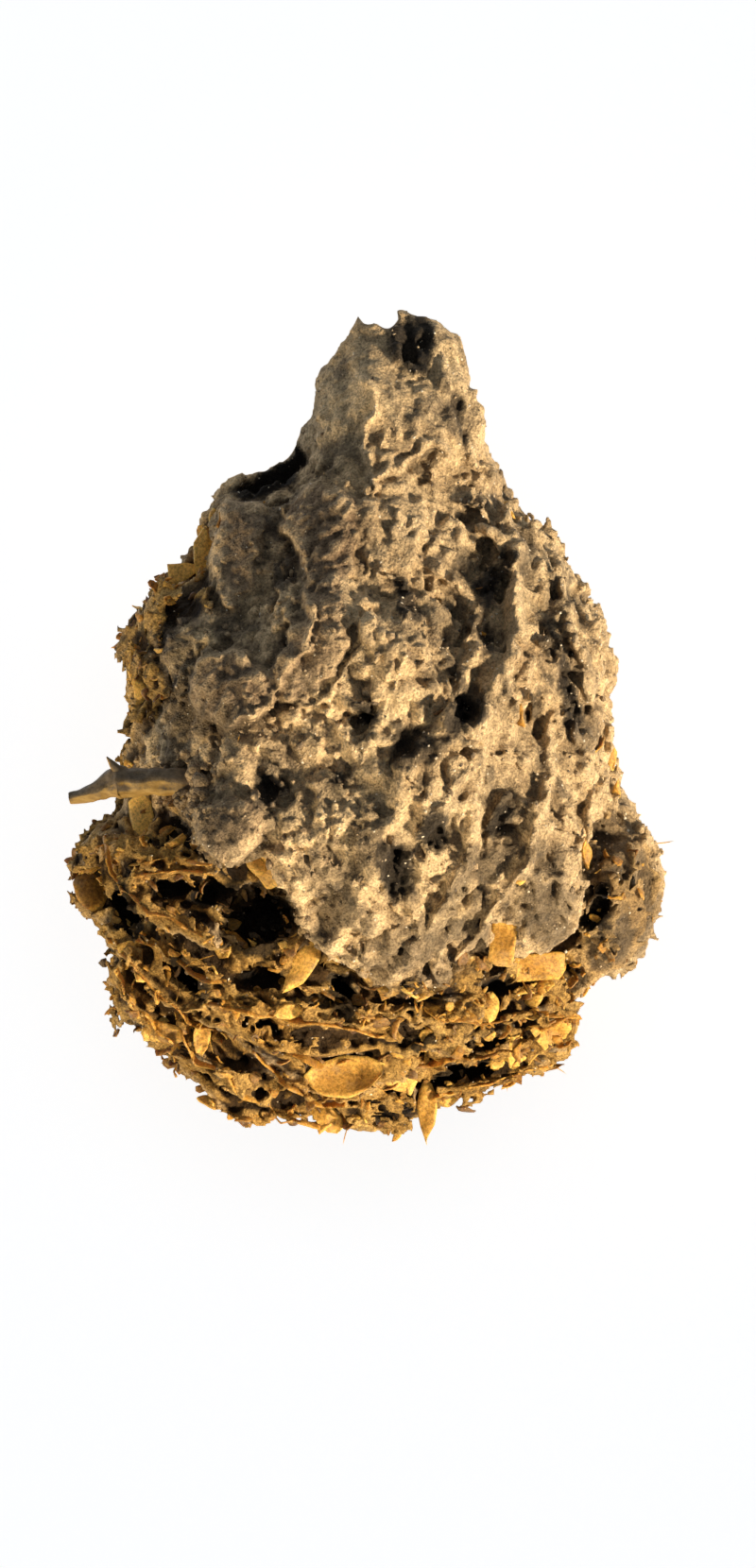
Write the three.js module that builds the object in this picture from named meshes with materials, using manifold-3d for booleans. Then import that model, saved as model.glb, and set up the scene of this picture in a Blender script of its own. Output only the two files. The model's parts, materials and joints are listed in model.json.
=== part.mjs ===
// A coprolite: a dried, tapering lump of dung, 58 mm long, lying on its back on a small flat spot.
// A dusty crust covers its upper face. Below the crust's broken edge, at the wide end, the inside
// shows as ledges and hollows of plant waste. Bran flakes, glumes and a piece of straw stick out.
//
// Frame: millimetres, +Z up, the tip towards +Y. The origin is the middle of the flat spot.
import * as THREE from "three";
import { mergeVertices } from "three/addons/utils/BufferGeometryUtils.js";
import Module from "manifold-3d";

const wasm = await Module();
wasm.setup();

// ---------------------------------------------------------------- driving dimensions

// The rim of the lump seen from above, round from the tip, as x and y.
const RIM = [
  [-1.1, 31.9], [-0.4, 32.6], [1.7, 32.7], [3.6, 33.2], [4.9, 32.8], [6.3, 30.7], [6.9, 26.7],
  [7.2, 24.8], [8.0, 23.3], [8.9, 20.5], [9.7, 18.9], [11.1, 18.1], [13.5, 15.7], [15.2, 12.3],
  [16.1, 11.2], [16.2, 9.3], [16.5, 7.7], [16.0, 6.3], [16.1, 4.3], [16.9, 0.7], [17.6, -2.5],
  [18.9, -4.1], [19.7, -5.9], [19.9, -7.7], [19.4, -9.7], [18.5, -11.5], [17.5, -13.2],
  [15.9, -13.5], [14.5, -14.0], [13.9, -15.7], [13.7, -17.9], [12.7, -18.9], [9.7, -20.7],
  [8.0, -21.8], [6.4, -22.3], [4.7, -22.4], [3.5, -23.3], [2.0, -24.3], [0.3, -24.5],
  [-3.0, -24.2], [-6.5, -23.6], [-7.5, -23.2], [-9.5, -24.3], [-10.7, -23.3], [-11.7, -21.3],
  [-15.3, -18.8], [-18.8, -15.6], [-18.9, -11.9], [-18.4, -10.9], [-19.2, -9.5], [-20.7, -8.7],
  [-20.9, -5.0], [-20.1, -3.8], [-18.9, -3.3], [-18.0, -1.7], [-17.5, 0.3], [-17.3, 3.0],
  [-16.4, 5.0], [-16.9, 6.3], [-17.2, 8.1], [-18.1, 9.2], [-17.9, 11.0], [-16.3, 13.9],
  [-14.4, 14.7], [-12.9, 15.9], [-11.9, 17.8], [-11.7, 19.7], [-10.8, 20.9], [-9.2, 21.9],
  [-6.0, 23.6], [-5.3, 25.0], [-4.3, 26.3], [-3.9, 28.8], [-2.8, 30.1], [-1.3, 30.7],
];

// Along the lump, at each y: the height of the rim, the rise above it and the drop below it.
const PROFILE = [
  { y: -26, rim: 13.5, rise: 13.0, drop: 13.0 },
  { y: -16, rim: 14.0, rise: 16.5, drop: 15.2 },
  { y: -4, rim: 15.0, rise: 18.5, drop: 16.4 },
  { y: 8, rim: 15.5, rise: 17.0, drop: 16.6 },
  { y: 16, rim: 15.5, rise: 13.5, drop: 14.0 },
  { y: 24, rim: 15.5, rise: 9.5, drop: 9.5 },
  { y: 34, rim: 15.0, rise: 7.5, drop: 7.0 },
];

const FRONT_EDGE = 3.4; // longest triangle side where the lump faces up
const BACK_EDGE = 5.5; // longest triangle side where it faces down
const SHORT_EDGE = 1.6; // sides shorter than this are never halved
const MOST_PASSES = 12; // rounds of halving
const FACET_ERROR = 0.34; // how far a side may lie off the form at its middle
const EVEN_DEGREES = 9; // the rim's bays and lobes are evened out over this far to each side
const GAP = 0.3; // left free between a flake and the pocket that holds it

// ---------------------------------------------------------------- relief of the upper face

// The region below the crust's broken edge, where the inside shows.
const BREAK = [
  [-18.0, -2.1], [-15.2, -1.3], [-13.3, -3.3], [-11.7, -5.1], [-10.3, -5.8], [-8.7, -5.2],
  [-6.7, -7.0], [-6.1, -8.7], [-5.5, -10.4], [-4.4, -11.5], [-3.1, -12.2], [-1.9, -12.1],
  [-0.9, -13.3], [0.3, -14.5], [2.0, -14.1], [3.7, -14.2], [5.1, -13.6], [6.1, -12.3],
  [7.5, -11.1], [9.3, -12.8], [13.3, -11.5], [14.8, -14.4], [13.3, -26.7], [-11.3, -26.7],
  [-22.7, -16.7], [-22.7, -2.7],
];
const BREAK_DEPTH = 2.0;

// Patches of smooth crust that stand proud, as outlines with a height.
const PLATES = [
  {
    height: 0.9,
    outline: [
      [-6.8, 18.0], [-6.4, 20.3], [-4.5, 21.2], [-2.5, 21.0], [-1.3, 19.9], [-1.3, 17.3],
      [-2.0, 15.0], [-2.3, 12.3], [-1.7, 10.0], [-2.5, 8.3], [-3.7, 7.1], [-6.8, 5.7],
      [-7.7, 7.6], [-6.9, 9.3], [-5.7, 11.7], [-4.9, 14.1],
    ],
  },
  {
    height: 0.9,
    outline: [
      [-13.1, 7.2], [-12.4, 9.2], [-10.1, 9.7], [-8.5, 8.7], [-7.3, 7.2], [-7.6, 5.5],
      [-8.8, 4.1], [-10.4, 3.9], [-11.9, 4.3], [-13.0, 5.5],
    ],
  },
  {
    height: 1.2,
    outline: [
      [-13.1, -1.9], [-10.7, -1.1], [-8.4, -1.3], [-7.3, -2.8], [-8.5, -4.7], [-10.3, -5.8],
      [-11.7, -5.0], [-12.7, -3.7],
    ],
  },
  {
    height: 0.7,
    outline: [
      [-11.6, 19.0], [-10.0, 20.4], [-7.9, 19.9], [-7.7, 18.0], [-8.7, 15.3], [-9.2, 12.7],
      [-10.9, 12.1], [-11.7, 14.7],
    ],
  },
];

// Rounded strokes along a path: crests stand up, furrows have a negative height.
const STROKES = [
  // the two long crests that run down from the tip
  { half: 6.0, height: 1.3, path: [[0.3, 31], [-0.3, 22], [-1.0, 12.7], [0.5, 5.3], [2.0, -3.3], [2.0, -11]] },
  { half: 1.6, height: 0.9, path: [[5.0, 31.5], [6.2, 25], [7.6, 18.5], [9.6, 13], [9.0, 7], [5.8, 2.4], [3.2, -2]] },
  { half: 3.5, height: 0.8, path: [[10.5, 17], [12.8, 10], [13.5, 0], [11.6, -9]] },
  { half: 0.9, height: 0.7, path: [[0.3, 21.8], [2.3, 23.3], [4.6, 23.7], [5.2, 22.4]] },
  { half: 0.8, height: 0.5, path: [[-0.5, 29], [-0.6, 24.5], [0, 21]] },
  // the furrow beside the lobe on the right
  { half: 1.5, height: -3.0, path: [[16.3, -2.6], [15.2, -5], [15.2, -10.8], [13.8, -13.4]] },
  // the crust's lower edge, lifted as a lip
  { half: 1.1, height: 0.8, path: [[-6.0, -6.6], [-5.0, -9.8], [-3.4, -11.5], [-1.5, -11.6], [0.4, -13.6], [4.6, -13.2]] },
  // ledges of the broken end, which run round it
  { half: 1.2, height: 2.0, path: [[-18.9, -3.6], [-18.0, -6.8], [-16.2, -8.2], [-13.8, -9.6], [-12.2, -10.8], [-10.2, -11.3]] },
  { half: 0.8, height: 1.2, path: [[-17.2, -5.4], [-14.5, -5.6], [-11.6, -6.0]] },
  { half: 1.0, height: 1.7, path: [[-18.7, -10.4], [-16.8, -13.3], [-15.0, -15.4], [-13.3, -16.7], [-10.6, -17.8]] },
  { half: 1.0, height: 1.6, path: [[-12.8, -13.2], [-12.2, -15.2], [-9.3, -15.7], [-6.0, -16.3], [-3.3, -16.8], [1.3, -17.8]] },
  { half: 1.0, height: 1.4, path: [[-9.4, -18.6], [-6.6, -20.6], [-4.6, -22.0], [-2.0, -22.2], [1.6, -21.4]] },
  { half: 0.9, height: 1.5, path: [[-18.6, -14.6], [-15.6, -17.6], [-12.4, -19.4], [-10.2, -21.4]] },
  { half: 1.0, height: 1.3, path: [[3.0, -16.4], [6.2, -15.0], [8.2, -17.6], [12.2, -16.6]] },
  { half: 0.9, height: 1.4, path: [[4.4, -19.0], [8.2, -18.4], [12.6, -18.0]] },
];

// Long pits of the crust: centre, length, width, the turn of the long side from +X, and depth.
const PITS = [
  { x: 5.3, y: 26.0, long: 5.0, wide: 1.4, turn: 104, depth: 0.9 },
  { x: 3.0, y: 22.4, long: 3.2, wide: 1.7, turn: 25, depth: 0.9 },
  { x: -0.4, y: 21.3, long: 2.4, wide: 1.6, turn: 80, depth: 0.8 },
  { x: 6.6, y: 19.4, long: 2.6, wide: 1.9, turn: 70, depth: 0.9 },
  { x: 8.0, y: 14.4, long: 6.4, wide: 2.4, turn: 65, depth: 1.9 },
  { x: 5.6, y: 15.4, long: 2.8, wide: 1.6, turn: 80, depth: 0.9 },
  { x: 2.0, y: 12.9, long: 4.8, wide: 2.0, turn: 115, depth: 1.6 },
  { x: 7.7, y: 10.1, long: 2.6, wide: 1.8, turn: 95, depth: 1.3 },
  { x: 5.2, y: 11.6, long: 3.2, wide: 2.4, turn: 100, depth: 0.9 },
  { x: 11.4, y: 9.4, long: 4.6, wide: 1.7, turn: 100, depth: 1.3 },
  { x: 13.4, y: 6.3, long: 6.2, wide: 2.1, turn: 105, depth: 1.9 },
  { x: 11.2, y: 4.6, long: 5.0, wide: 1.7, turn: 98, depth: 1.3 },
  { x: 5.6, y: 6.6, long: 5.6, wide: 1.8, turn: 117, depth: 1.2 },
  { x: 6.0, y: 4.7, long: 4.0, wide: 2.6, turn: 60, depth: 1.6 },
  { x: 2.3, y: 2.7, long: 4.2, wide: 3.2, turn: 20, depth: 1.3 },
  { x: -7.8, y: -0.3, long: 3.2, wide: 2.6, turn: 90, depth: 1.4 },
  { x: 8.2, y: 0.6, long: 4.6, wide: 1.6, turn: 70, depth: 1.4 },
  { x: 4.0, y: -3.3, long: 3.2, wide: 2.6, turn: 50, depth: 1.8 },
  { x: 8.7, y: -2.9, long: 4.0, wide: 2.1, turn: 82, depth: 1.6 },
  { x: 1.4, y: -6.2, long: 5.4, wide: 2.6, turn: 95, depth: 2.2 },
  { x: -1.0, y: -9.7, long: 2.8, wide: 2.2, turn: 40, depth: 1.3 },
  { x: -3.8, y: -8.4, long: 4.0, wide: 3.0, turn: 60, depth: 0.9 },
  { x: 4.2, y: -12.0, long: 3.2, wide: 1.8, turn: 20, depth: 1.0 },
  { x: 2.0, y: -15.1, long: 3.6, wide: 1.9, turn: 15, depth: 1.3 },
  { x: 9.8, y: -8.6, long: 3.6, wide: 3.2, turn: 0, depth: 1.0 },
];

// Hollows with an edge that overhangs: centre, how far it lies under the surface, radii, turn.
const HOLLOWS = [
  { x: -8.3, y: -9.4, under: 1.2, radii: [3.1, 2.5, 3.6], turn: 25 }, // the cave under the crust
  { x: -2.5, y: -15.3, under: 0.6, radii: [1.1, 1.9, 2.6], turn: 10 },
  { x: -7.4, y: 22.3, under: -0.2, radii: [3.0, 1.3, 3.0], turn: 25 }, // the notch left of the tip
  { x: 2.2, y: 31.2, under: -0.4, radii: [1.5, 2.3, 2.2], turn: 0 }, // the open end of the tip
  { x: 15.5, y: -8.9, under: 0.0, radii: [1.2, 1.9, 2.8], turn: -5 }, // the hole beside the lobe
  { x: -1.0, y: 4.4, under: 0.2, radii: [0.9, 1.7, 2.4], turn: 20 },
  { x: -3.3, y: 0.3, under: 0.2, radii: [1.5, 0.7, 1.8], turn: 10 },
  { x: 5.6, y: -20.6, under: 0.2, radii: [2.8, 0.9, 2.6], turn: 12 },
  { x: 3.1, y: -18.6, under: 0.2, radii: [1.3, 0.8, 2.2], turn: 0 },
  { x: -17.9, y: -8.9, under: 0.2, radii: [0.9, 2.6, 2.4], turn: 28 },
  { x: -13.3, y: -13.6, under: 0.3, radii: [1.0, 2.2, 2.2], turn: 30 },
  { x: -16.7, y: 10.2, under: 0.2, radii: [1.0, 1.5, 2.0], turn: 0 },
  { x: -10.1, y: -18.4, under: 0.4, radii: [0.9, 1.6, 2.2], turn: 0 },
];

// ---------------------------------------------------------------- plant pieces

const SHAPES = {
  oblong: (u) => Math.pow(1 - Math.pow(Math.abs(u), 5), 0.4),
  oval: (u) => Math.sqrt(Math.max(0, 1 - u * u)),
  glume: (u) => Math.sin((Math.PI * (u + 1)) / 2) * (1.1 - 0.35 * u),
  wedge: (u) => 0.25 + 0.75 * (1 - (u + 1) / 2),
};

// Each flake: its middle, its size, the turn of its long side from +X, the pitch that lifts the far
// end of that side, the roll about that side, its bend, and how far it stands off the surface.
const FLAKES = [
  { name: "hanging_glume", shape: "glume", x: -16.5, y: -2.4, long: 3.9, wide: 1.8, turn: -94, pitch: -14, roll: -6, bend: 0.35, lift: 0.0 },
  { name: "upright_bran_flake", shape: "oblong", x: 8.8, y: -11.2, long: 3.0, wide: 1.8, turn: 82, pitch: -6, roll: -12, bend: 0.1, lift: -0.15 },
  { name: "wide_bran_flake", shape: "oblong", x: 11.3, y: -12.8, long: 3.6, wide: 2.1, turn: 4, pitch: -12, roll: 18, bend: 0.1, rest: 21.3 },
  { name: "leaning_glume", shape: "glume", x: -5.3, y: -12.8, long: 4.2, wide: 1.5, turn: -125, pitch: 12, roll: 8, bend: 0.25, lift: -0.05 },
  { name: "edge_bran_flake", shape: "oblong", x: -7.8, y: -6.1, long: 2.4, wide: 1.9, turn: -60, pitch: -10, roll: 0, bend: 0.1, lift: -0.2 },
  { name: "boat_husk", shape: "oval", x: -2.3, y: -20.6, long: 5.2, wide: 2.8, turn: 8, pitch: 0, roll: -20, bend: -0.8, lift: 0.5 },
  { name: "bottom_glume", shape: "glume", x: 3.5, y: -23.2, long: 4.2, wide: 1.3, turn: -92, pitch: -4, roll: 10, bend: 0.2, rest: 14.6 },
  { name: "bottom_wedge", shape: "wedge", x: 1.3, y: -21.1, long: 2.8, wide: 1.6, turn: 160, pitch: 0, roll: 0, bend: 0.1, lift: -1.6 },
  { name: "bottom_husk", shape: "oval", x: -3.6, y: -23.6, long: 2.6, wide: 1.6, turn: -50, pitch: 0, roll: 0, bend: 0.2, rest: 14.2 },
  { name: "pale_shard", shape: "oblong", x: 9.6, y: -18.5, long: 3.4, wide: 1.3, turn: 84, pitch: 4, roll: 20, bend: 0.2, lift: -0.35 },
  { name: "amber_husk", shape: "oval", x: 12.4, y: -17.6, long: 2.7, wide: 1.7, turn: 20, pitch: 0, roll: 0, bend: -0.3, lift: -0.2 },
  { name: "pale_kernel_skin", shape: "oval", x: 7.8, y: -15.7, long: 2.0, wide: 1.2, turn: 80, pitch: 0, roll: 0, bend: 0.4, lift: -0.8 },
  { name: "yellow_crumb", shape: "oval", x: -6.3, y: -15.9, long: 1.8, wide: 1.1, turn: 10, pitch: 0, roll: 0, bend: 0.2, lift: -0.35 },
  { name: "lower_left_husk", shape: "oval", x: -15.1, y: -17.5, long: 2.7, wide: 2.0, turn: -35, pitch: 0, roll: 0, bend: 0.3, lift: -0.6 },
  { name: "ring_husk", shape: "oval", x: -12.4, y: -17.8, long: 2.6, wide: 1.2, turn: 80, pitch: 0, roll: 0, bend: -0.4, lift: 0.2 },
  { name: "left_edge_husk", shape: "oblong", x: -16.9, y: 7.3, long: 3.2, wide: 1.4, turn: -82, pitch: 0, roll: -10, bend: 0.2, rest: 16.4 },
  { name: "left_shoulder_husk", shape: "oblong", x: -12.5, y: 16.4, long: 3.4, wide: 1.3, turn: -100, pitch: 0, roll: -15, bend: 0.2, rest: 16.6 },
  { name: "left_shoulder_flake", shape: "oval", x: -13.7, y: 15.1, long: 2.2, wide: 1.6, turn: 15, pitch: 0, roll: 0, bend: 0.2, rest: 16.2 },
  { name: "left_brown_husk", shape: "oval", x: -20.4, y: -7.6, long: 2.8, wide: 2.0, turn: -70, pitch: 0, roll: -15, bend: 0.4, rest: 15.6 },
  { name: "right_edge_husk", shape: "glume", x: 16.2, y: 2.6, long: 3.2, wide: 1.0, turn: -75, pitch: 0, roll: 15, bend: 0.2, rest: 16.4 },
  { name: "lobe_shard", shape: "oblong", x: 14.6, y: -4.9, long: 2.2, wide: 0.9, turn: 100, pitch: 0, roll: 20, bend: 0.1, lift: 0.0 },
];
const FLAKE_THICK = 0.4;
const SLOPE_FOLLOWED = 0.4; // a flake lies flatter than the slope that holds it
const FLAKE_COLOR = 0xb98a3a;

// The straw: its centreline from the end buried in the lump to the broken end, with radii.
const STRAW = [
  { at: [-11.6, -0.2, 25.4], radius: 1.15 },
  { at: [-13.6, 0.1, 25.6], radius: 1.25 },
  { at: [-15.6, 0.2, 25.4], radius: 1.2 },
  { at: [-17.4, 0.1, 25.0], radius: 1.15 },
  { at: [-18.1, 0.1, 24.8], radius: 1.45 },
  { at: [-18.9, -0.1, 24.6], radius: 1.05 },
  { at: [-20.2, -0.7, 24.2], radius: 0.7 },
  { at: [-21.6, -1.0, 23.9], radius: 0.5 },
];
const STRAW_SIDES = 10;
const STRAW_BORE = { depth: 0.8, share: 0.55 }; // the hollow at its broken end

// ---------------------------------------------------------------- small helpers

const clamp01 = (t) => Math.min(1, Math.max(0, t));
const smooth = (low, high, value) => {
  const t = clamp01((value - low) / (high - low));
  return t * t * (3 - 2 * t);
};
const radians = THREE.MathUtils.degToRad;

// A repeatable random number from 0 to 1 for each point of a whole-number lattice.
function hash(i, j, k, seed) {
  let h = Math.imul(i, 374761393) ^ Math.imul(j, 668265263) ^ Math.imul(k, 2147483647) ^ Math.imul(seed, 974634777);
  h = Math.imul(h ^ (h >>> 13), 1274126177);
  return ((h ^ (h >>> 16)) >>> 0) / 4294967295;
}

// Smooth noise from -1 to 1, with lumps about `size` millimetres across.
function noise(p, size, seed) {
  const q = [p.x / size, p.y / size, p.z / size];
  const cell = q.map(Math.floor);
  const t = q.map((v, n) => smooth(0, 1, v - cell[n]));
  let sum = 0;
  for (let corner = 0; corner < 8; corner++) {
    const bit = [corner & 1, (corner >> 1) & 1, (corner >> 2) & 1];
    const weight = bit.reduce((w, b, n) => w * (b ? t[n] : 1 - t[n]), 1);
    sum += weight * hash(cell[0] + bit[0], cell[1] + bit[1], cell[2] + bit[2], seed);
  }
  return 2 * sum - 1;
}

// The distance from (x, y) to the segment from a to b.
function segmentDistance(x, y, a, b) {
  const [dx, dy] = [b[0] - a[0], b[1] - a[1]];
  const t = clamp01(((x - a[0]) * dx + (y - a[1]) * dy) / (dx * dx + dy * dy));
  return Math.hypot(x - a[0] - t * dx, y - a[1] - t * dy);
}

// The distance from (x, y) to an outline, positive inside it.
function depthInside(x, y, outline) {
  let nearest = Infinity;
  let inside = false;
  outline.forEach((a, n) => {
    const b = outline[(n + 1) % outline.length];
    nearest = Math.min(nearest, segmentDistance(x, y, a, b));
    if (a[1] > y !== b[1] > y && x < a[0] + ((y - a[1]) * (b[0] - a[0])) / (b[1] - a[1])) inside = !inside;
  });
  return inside ? nearest : -nearest;
}

// A closed mesh as a manifold-3d solid, and back.
function toSolid(geometry) {
  const bare = new THREE.BufferGeometry().setAttribute("position", geometry.getAttribute("position"));
  if (geometry.index) bare.setIndex(geometry.index);
  const merged = mergeVertices(bare, 1e-4);
  return new wasm.Manifold(
    new wasm.Mesh({
      numProp: 3,
      vertProperties: new Float32Array(merged.attributes.position.array),
      triVerts: new Uint32Array(merged.index.array),
    }),
  );
}

function toGeometry(solid) {
  const mesh = solid.getMesh();
  const geometry = new THREE.BufferGeometry();
  geometry.setAttribute("position", new THREE.BufferAttribute(new Float32Array(mesh.vertProperties), 3));
  geometry.setIndex(new THREE.BufferAttribute(new Uint32Array(mesh.triVerts), 1));
  geometry.computeVertexNormals();
  return geometry;
}

// ---------------------------------------------------------------- the lump

// The profile's values at y, along a smooth curve through its rows.
function profileAt(y) {
  const last = PROFILE.length - 2;
  const n = Math.min(last, Math.max(0, PROFILE.findLastIndex((row) => row.y <= y)));
  const [a, b] = [PROFILE[n], PROFILE[n + 1]];
  const t = smooth(a.y, b.y, y);
  return ["rim", "rise", "drop"].map((key) => a[key] + (b[key] - a[key]) * t);
}

// How far the rim lies from the origin in the direction (cosine, sine).
function rimCrossing(cosine, sine) {
  let reach = 0;
  RIM.forEach((a, n) => {
    const b = RIM[(n + 1) % RIM.length];
    const sideA = a[1] * cosine - a[0] * sine;
    const sideB = b[1] * cosine - b[0] * sine;
    if (sideA > 0 === sideB > 0) return;
    const t = sideA / (sideA - sideB);
    const along = (a[0] + (b[0] - a[0]) * t) * cosine + (a[1] + (b[1] - a[1]) * t) * sine;
    reach = Math.max(reach, along);
  });
  return reach;
}

// The rim's reach for every degree, and the same rim with its small bays and lobes evened out.
const RIM_REACH = Array.from({ length: 360 }, (_, n) => rimCrossing(Math.cos(radians(n)), Math.sin(radians(n))));
const EVEN_REACH = RIM_REACH.map((_, n) => {
  let sum = 0;
  for (let off = -EVEN_DEGREES; off <= EVEN_DEGREES; off++) sum += RIM_REACH[(n + off + 360) % 360];
  return sum / (2 * EVEN_DEGREES + 1);
});

function readReach(table, cosine, sine) {
  const degrees = (THREE.MathUtils.radToDeg(Math.atan2(sine, cosine)) + 360) % 360;
  const n = Math.floor(degrees);
  const t = degrees - n;
  return table[n % 360] * (1 - t) + table[(n + 1) % 360] * t;
}

// The reach at a share of the way out from the middle: bays and lobes fade towards the middle.
function reachAt(cosine, sine, share) {
  const own = smooth(0.45, 1, share);
  return own * readReach(RIM_REACH, cosine, sine) + (1 - own) * readReach(EVEN_REACH, cosine, sine);
}

// The plain lump's surface in a direction given as a unit vector.
function lumpPoint(direction) {
  const flat = Math.max(1e-6, Math.hypot(direction.x, direction.y));
  const [cosine, sine] = [direction.x / flat, direction.y / flat];
  const reach = flat * reachAt(cosine, sine, flat);
  const [x, y] = [reach * cosine, reach * sine];
  const [rim, rise, drop] = profileAt(y);
  return new THREE.Vector3(x, y, rim + direction.z * (direction.z > 0 ? rise : drop));
}

// The height of the plain lump's upper face over (x, y).
function upperFace(x, y) {
  const distance = Math.max(1e-6, Math.hypot(x, y));
  let share = 0.7;
  for (let turn = 0; turn < 6; turn++) share = Math.min(0.98, distance / reachAt(x / distance, y / distance, share));
  const [rim, rise] = profileAt(y);
  return rim + rise * Math.sqrt(1 - share * share);
}

// What the relief adds to the upper face over (x, y).
function upperRelief(x, y) {
  let height = -BREAK_DEPTH * smooth(-0.5, 0.5, depthInside(x, y, BREAK));
  for (const plate of PLATES) height += plate.height * smooth(-0.4, 0.5, depthInside(x, y, plate.outline));
  for (const stroke of STROKES) {
    let nearest = Infinity;
    for (let n = 1; n < stroke.path.length; n++)
      nearest = Math.min(nearest, segmentDistance(x, y, stroke.path[n - 1], stroke.path[n]));
    const off = clamp01(nearest / stroke.half);
    height += stroke.height * (1 - off * off) ** 2;
  }
  for (const pit of PITS) {
    const [cosine, sine] = [Math.cos(radians(pit.turn)), Math.sin(radians(pit.turn))];
    const along = ((x - pit.x) * cosine + (y - pit.y) * sine) / (pit.long / 2);
    const across = ((y - pit.y) * cosine - (x - pit.x) * sine) / (pit.wide / 2);
    const off = along * along + across * across;
    if (off < 1) height -= pit.depth * (1 - off) ** 1.2;
  }
  return height;
}

// The lump's surface with its relief in a direction given as a unit vector.
function formPoint(direction) {
  const axis = Math.abs(direction.z) > 0.7 ? new THREE.Vector3(1, 0, 0) : new THREE.Vector3(0, 0, 1);
  const side = axis.cross(direction).normalize();
  const up = new THREE.Vector3().crossVectors(direction, side);
  const step = 0.04;
  const [east, west, north, south] = [side, side.clone().negate(), up, up.clone().negate()].map((shift) =>
    lumpPoint(direction.clone().addScaledVector(shift, step).normalize()),
  );
  const normal = east.sub(west).cross(north.sub(south)).normalize();
  const point = lumpPoint(direction);
  const upper = smooth(0.05, 0.4, normal.z);
  const side_on = smooth(-0.9, -0.6, normal.z); // none on the underside, which is cut flat
  const bumps = 0.55 * noise(point, 5.2, 1) + 0.4 * noise(point, 2.6, 2);
  const dents = -1.6 * smooth(0.42, 0.85, noise(point, 4.1, 3)) * (1 - upper);
  const amount = side_on * (bumps + dents) + upper * upperRelief(point.x, point.y);
  return point.addScaledVector(normal, amount);
}

// Halves every side that is too long or lies too far off the form, until none does.
// A vertex is a direction on a unit sphere, with its place on the plain lump and on the form.
function refine(directions, triangles) {
  const plain = directions.map(lumpPoint);
  const surface = directions.map(formPoint);
  const keyOf = (a, b) => (a < b ? a + "_" + b : b + "_" + a);
  const tooRough = (a, b) => {
    const length = surface[a].distanceTo(surface[b]);
    if (length < SHORT_EDGE) return false;
    const direction = directions[a].clone().add(directions[b]).normalize();
    const upper = smooth(-0.25, 0.1, direction.z);
    if (length > BACK_EDGE + (FRONT_EDGE - BACK_EDGE) * upper) return true;
    const middle = surface[a].clone().add(surface[b]).multiplyScalar(0.5);
    return formPoint(direction).distanceTo(middle) > FACET_ERROR * (3 - 2 * upper);
  };
  for (let pass = 0; pass < MOST_PASSES; pass++) {
    // each triangle is turned so that its longest side comes first
    triangles = triangles.map(([a, b, c]) => {
      const [ab, bc, ca] = [[a, b], [b, c], [c, a]].map(([p, q]) => plain[p].distanceTo(plain[q]));
      if (ab >= bc && ab >= ca) return [a, b, c];
      return bc >= ca ? [b, c, a] : [c, a, b];
    });
    const rough = new Map();
    for (const [a, b, c] of triangles)
      for (const [p, q] of [[a, b], [b, c], [c, a]])
        if (!rough.has(keyOf(p, q))) rough.set(keyOf(p, q), tooRough(p, q));
    // a triangle that is cut at all is also cut at its longest side
    for (let spread = true; spread; ) {
      spread = false;
      for (const [a, b, c] of triangles)
        if (!rough.get(keyOf(a, b)) && (rough.get(keyOf(b, c)) || rough.get(keyOf(c, a)))) {
          rough.set(keyOf(a, b), true);
          spread = true;
        }
    }
    const middles = new Map();
    const middleOf = (a, b) => {
      const key = keyOf(a, b);
      if (!rough.get(key)) return -1;
      if (!middles.has(key)) {
        middles.set(key, directions.length);
        directions.push(directions[a].clone().add(directions[b]).normalize());
        plain.push(lumpPoint(directions.at(-1)));
        surface.push(formPoint(directions.at(-1)));
      }
      return middles.get(key);
    };
    triangles = triangles.flatMap(([a, b, c]) => {
      const [ab, bc, ca] = [middleOf(a, b), middleOf(b, c), middleOf(c, a)];
      if (ab < 0) return [[a, b, c]];
      const left = ca < 0 ? [[a, ab, c]] : [[a, ab, ca], [ab, c, ca]];
      const right = bc < 0 ? [[ab, b, c]] : [[ab, b, bc], [ab, bc, c]];
      return [...left, ...right];
    });
    if (middles.size === 0) break;
  }
  return { surface, triangles };
}

// The lump with its relief, before anything is cut.
function lump() {
  const ball = new THREE.IcosahedronGeometry(1, 4);
  ball.deleteAttribute("normal");
  ball.deleteAttribute("uv");
  const seed = mergeVertices(ball, 1e-5);
  const position = seed.getAttribute("position");
  const directions = [];
  for (let n = 0; n < position.count; n++)
    directions.push(new THREE.Vector3().fromBufferAttribute(position, n).normalize());
  const corners = [];
  for (let n = 0; n < seed.index.count; n += 3)
    corners.push([seed.index.getX(n), seed.index.getX(n + 1), seed.index.getX(n + 2)]);
  const { surface, triangles } = refine(directions, corners);
  const geometry = new THREE.BufferGeometry().setFromPoints(surface);
  geometry.setIndex(triangles.flat());
  return toSolid(geometry);
}

// A lumpy ball that cuts one hollow.
function hollowCutter({ x, y, under, radii, turn }) {
  const ball = new THREE.IcosahedronGeometry(1, Math.max(...radii) > 2.9 ? 2 : 1);
  ball.deleteAttribute("normal");
  ball.deleteAttribute("uv");
  const geometry = mergeVertices(ball, 1e-5);
  const points = geometry.getAttribute("position");
  for (let n = 0; n < points.count; n++) {
    const p = new THREE.Vector3().fromBufferAttribute(points, n);
    p.multiplyScalar(1 + 0.16 * noise(p, 0.6, Math.round(10 * (x + 40))));
    points.setXYZ(n, p.x * radii[0], p.y * radii[1], p.z * radii[2]);
  }
  geometry.rotateZ(radians(turn));
  geometry.translate(x, y, upperFace(x, y) + upperRelief(x, y) - under);
  return toSolid(geometry);
}

// ---------------------------------------------------------------- flakes and straw

const FLAKE_ROWS = 4; // cells along a flake
const FLAKE_COLUMNS = 2; // cells across it

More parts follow.
